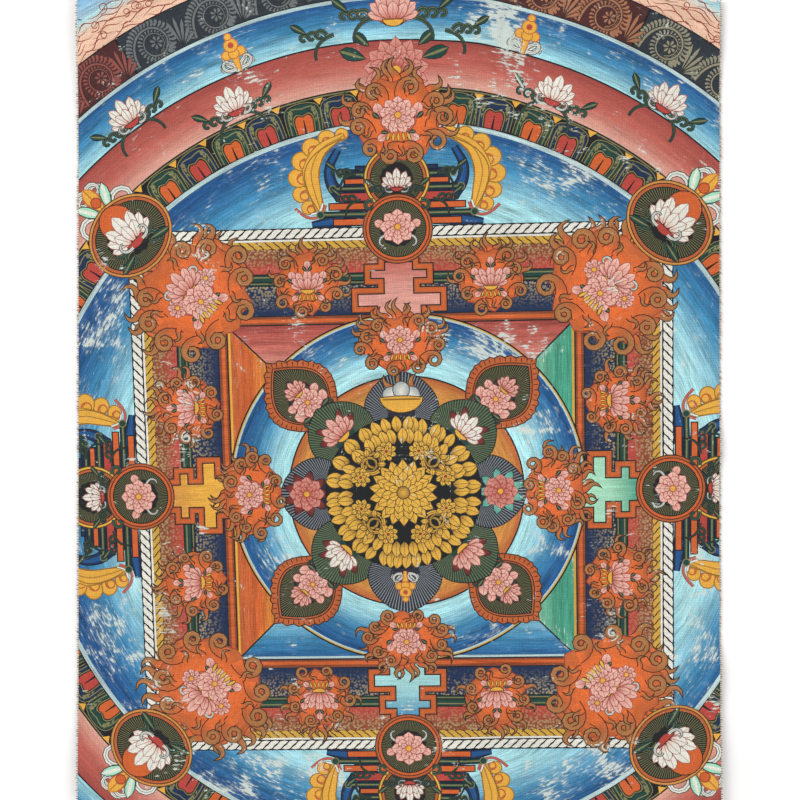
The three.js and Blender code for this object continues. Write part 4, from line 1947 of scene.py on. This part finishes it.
def stage_light(name, place, energy, reach):
    """A soft square light that points at the middle of the cloth."""
    lamp = bpy.data.lights.new(name, "AREA")
    lamp.energy = energy
    lamp.size = reach
    thing = new_object(name, lamp)
    thing.location = place
    thing.rotation_euler = (-Vector(place)).to_track_quat("-Z", "Y").to_euler()


def new_piece(name, mesh):
    """A finished piece, which rides on the cloth's body."""
    thing = new_object(name, mesh)
    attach(thing, "root")
    return thing


# Operators, one for each piece and one for the stage

class MakeCanvas(bpy.types.Operator):
    """Make the painted cloth, in place of its plain solid"""
    bl_idname = "scroll.make_canvas"
    bl_label = "Painted canvas"

    def execute(self, context):
        mesh = canvas_mesh()
        mesh.materials.append(painted_material())
        thing = new_piece("canvas_sheet", mesh)
        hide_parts(CLOTH_NODE)
        return {"FINISHED"}


class MakeThreads(bpy.types.Operator):
    """Make the cut thread ends along the edges of the cloth"""
    bl_idname = "scroll.make_threads"
    bl_label = "Cut threads"

    def execute(self, context):
        outline = edge_points(1.0)[::-1]
        heights = underside(outline) + cloth().thickness / MM * 0.55
        mesh = bpy.data.meshes.new("edge_path")
        count = len(outline)
        steps = [(i, (i + 1) % count) for i in range(count)]
        mesh.from_pydata(np.column_stack((outline, heights)) * MM, steps, [])
        guide = new_object("edge_path", mesh)
        modifier = guide.modifiers.new("threads", "NODES")
        modifier.node_group = threads_tree()
        set_input(modifier, "Pitch", cloth().thread_pitch)
        set_input(modifier, "Length", cloth().thread_end)
        set_input(modifier, "Finish", thread_material())
        new_piece("cut_thread_ends", evaluated_mesh(guide))
        return {"FINISHED"}


FLOOR_HALF = 1.5        # half of the floor's side
PHOTO_WIDTH = 0.2368    # width of what the photo shows, at the cloth's height
PHOTO_MIDDLE = 0.0003   # how far right of the cloth's middle the photo's middle lies


class MakeStage(bpy.types.Operator):
    """Make the pale floor, the soft lights and the camera"""
    bl_idname = "scroll.make_stage"
    bl_label = "Stage"

    def execute(self, context):
        reach = FLOOR_HALF
        floor = flat_object("floor", box(-reach, -reach, reach, reach), faces=[(0, 1, 2, 3)])
        floor.data.materials.append(floor_material())
        stage_light("key_light", (-0.75, 0.75, 1.25), 15.0, 0.9)
        stage_light("fill_light", (0.9, -0.5, 1.2), 8.0, 1.2)
        world = bpy.data.worlds.new("soft_room")
        world.use_nodes = True
        plug_in(world.node_tree.nodes["Background"], {"Color": (1.0, 1.0, 1.0), "Strength": 0.55})
        context.scene.world = world
        camera_data = bpy.data.cameras.new("camera")
        camera_data.lens = 100.0
        camera = new_object("camera", camera_data)
        away = PHOTO_WIDTH / 2 / math.tan(camera_data.angle / 2)
        camera.location = (PHOTO_MIDDLE, 0.0, away + HIGH.z / 2)
        context.scene.camera = camera
        context.scene.view_settings.view_transform = "Standard"
        return {"FINISHED"}


class ScrollPanel(bpy.types.Panel):
    """Lists the pieces of the scroll canvas"""
    bl_idname = "VIEW3D_PT_scroll_canvas"
    bl_label = "Scroll canvas"
    bl_space_type = "VIEW_3D"
    bl_region_type = "UI"
    bl_category = "Scroll canvas"

    def draw(self, context):
        for operator in OPERATORS:
            self.layout.operator(operator.bl_idname)
        for group in (context.scene.canvas_sizes, context.scene.picture_sizes, context.scene.canvas_paints):
            column = self.layout.column()
            for name in group.__annotations__:
                column.prop(group, name)


OPERATORS = (MakeStage, MakeCanvas, MakeThreads)
SETTINGS = (("canvas_paints", CanvasPaints), ("canvas_sizes", CanvasSizes), ("picture_sizes", PictureSizes))


def register():
    for name, group in SETTINGS:
        bpy.utils.register_class(group)
        setattr(bpy.types.Scene, name, PointerProperty(type=group))
    for operator in OPERATORS:
        bpy.utils.register_class(operator)
    bpy.utils.register_class(ScrollPanel)


def unregister():
    bpy.utils.unregister_class(ScrollPanel)
    for operator in reversed(OPERATORS):
        bpy.utils.unregister_class(operator)
    for name, group in reversed(SETTINGS):
        delattr(bpy.types.Scene, name)
        bpy.utils.unregister_class(group)


def main():
    register()
    bpy.ops.scroll.make_stage()
    bpy.ops.scroll.make_canvas()
    bpy.ops.scroll.make_threads()


if __name__ == "__main__":
    main()
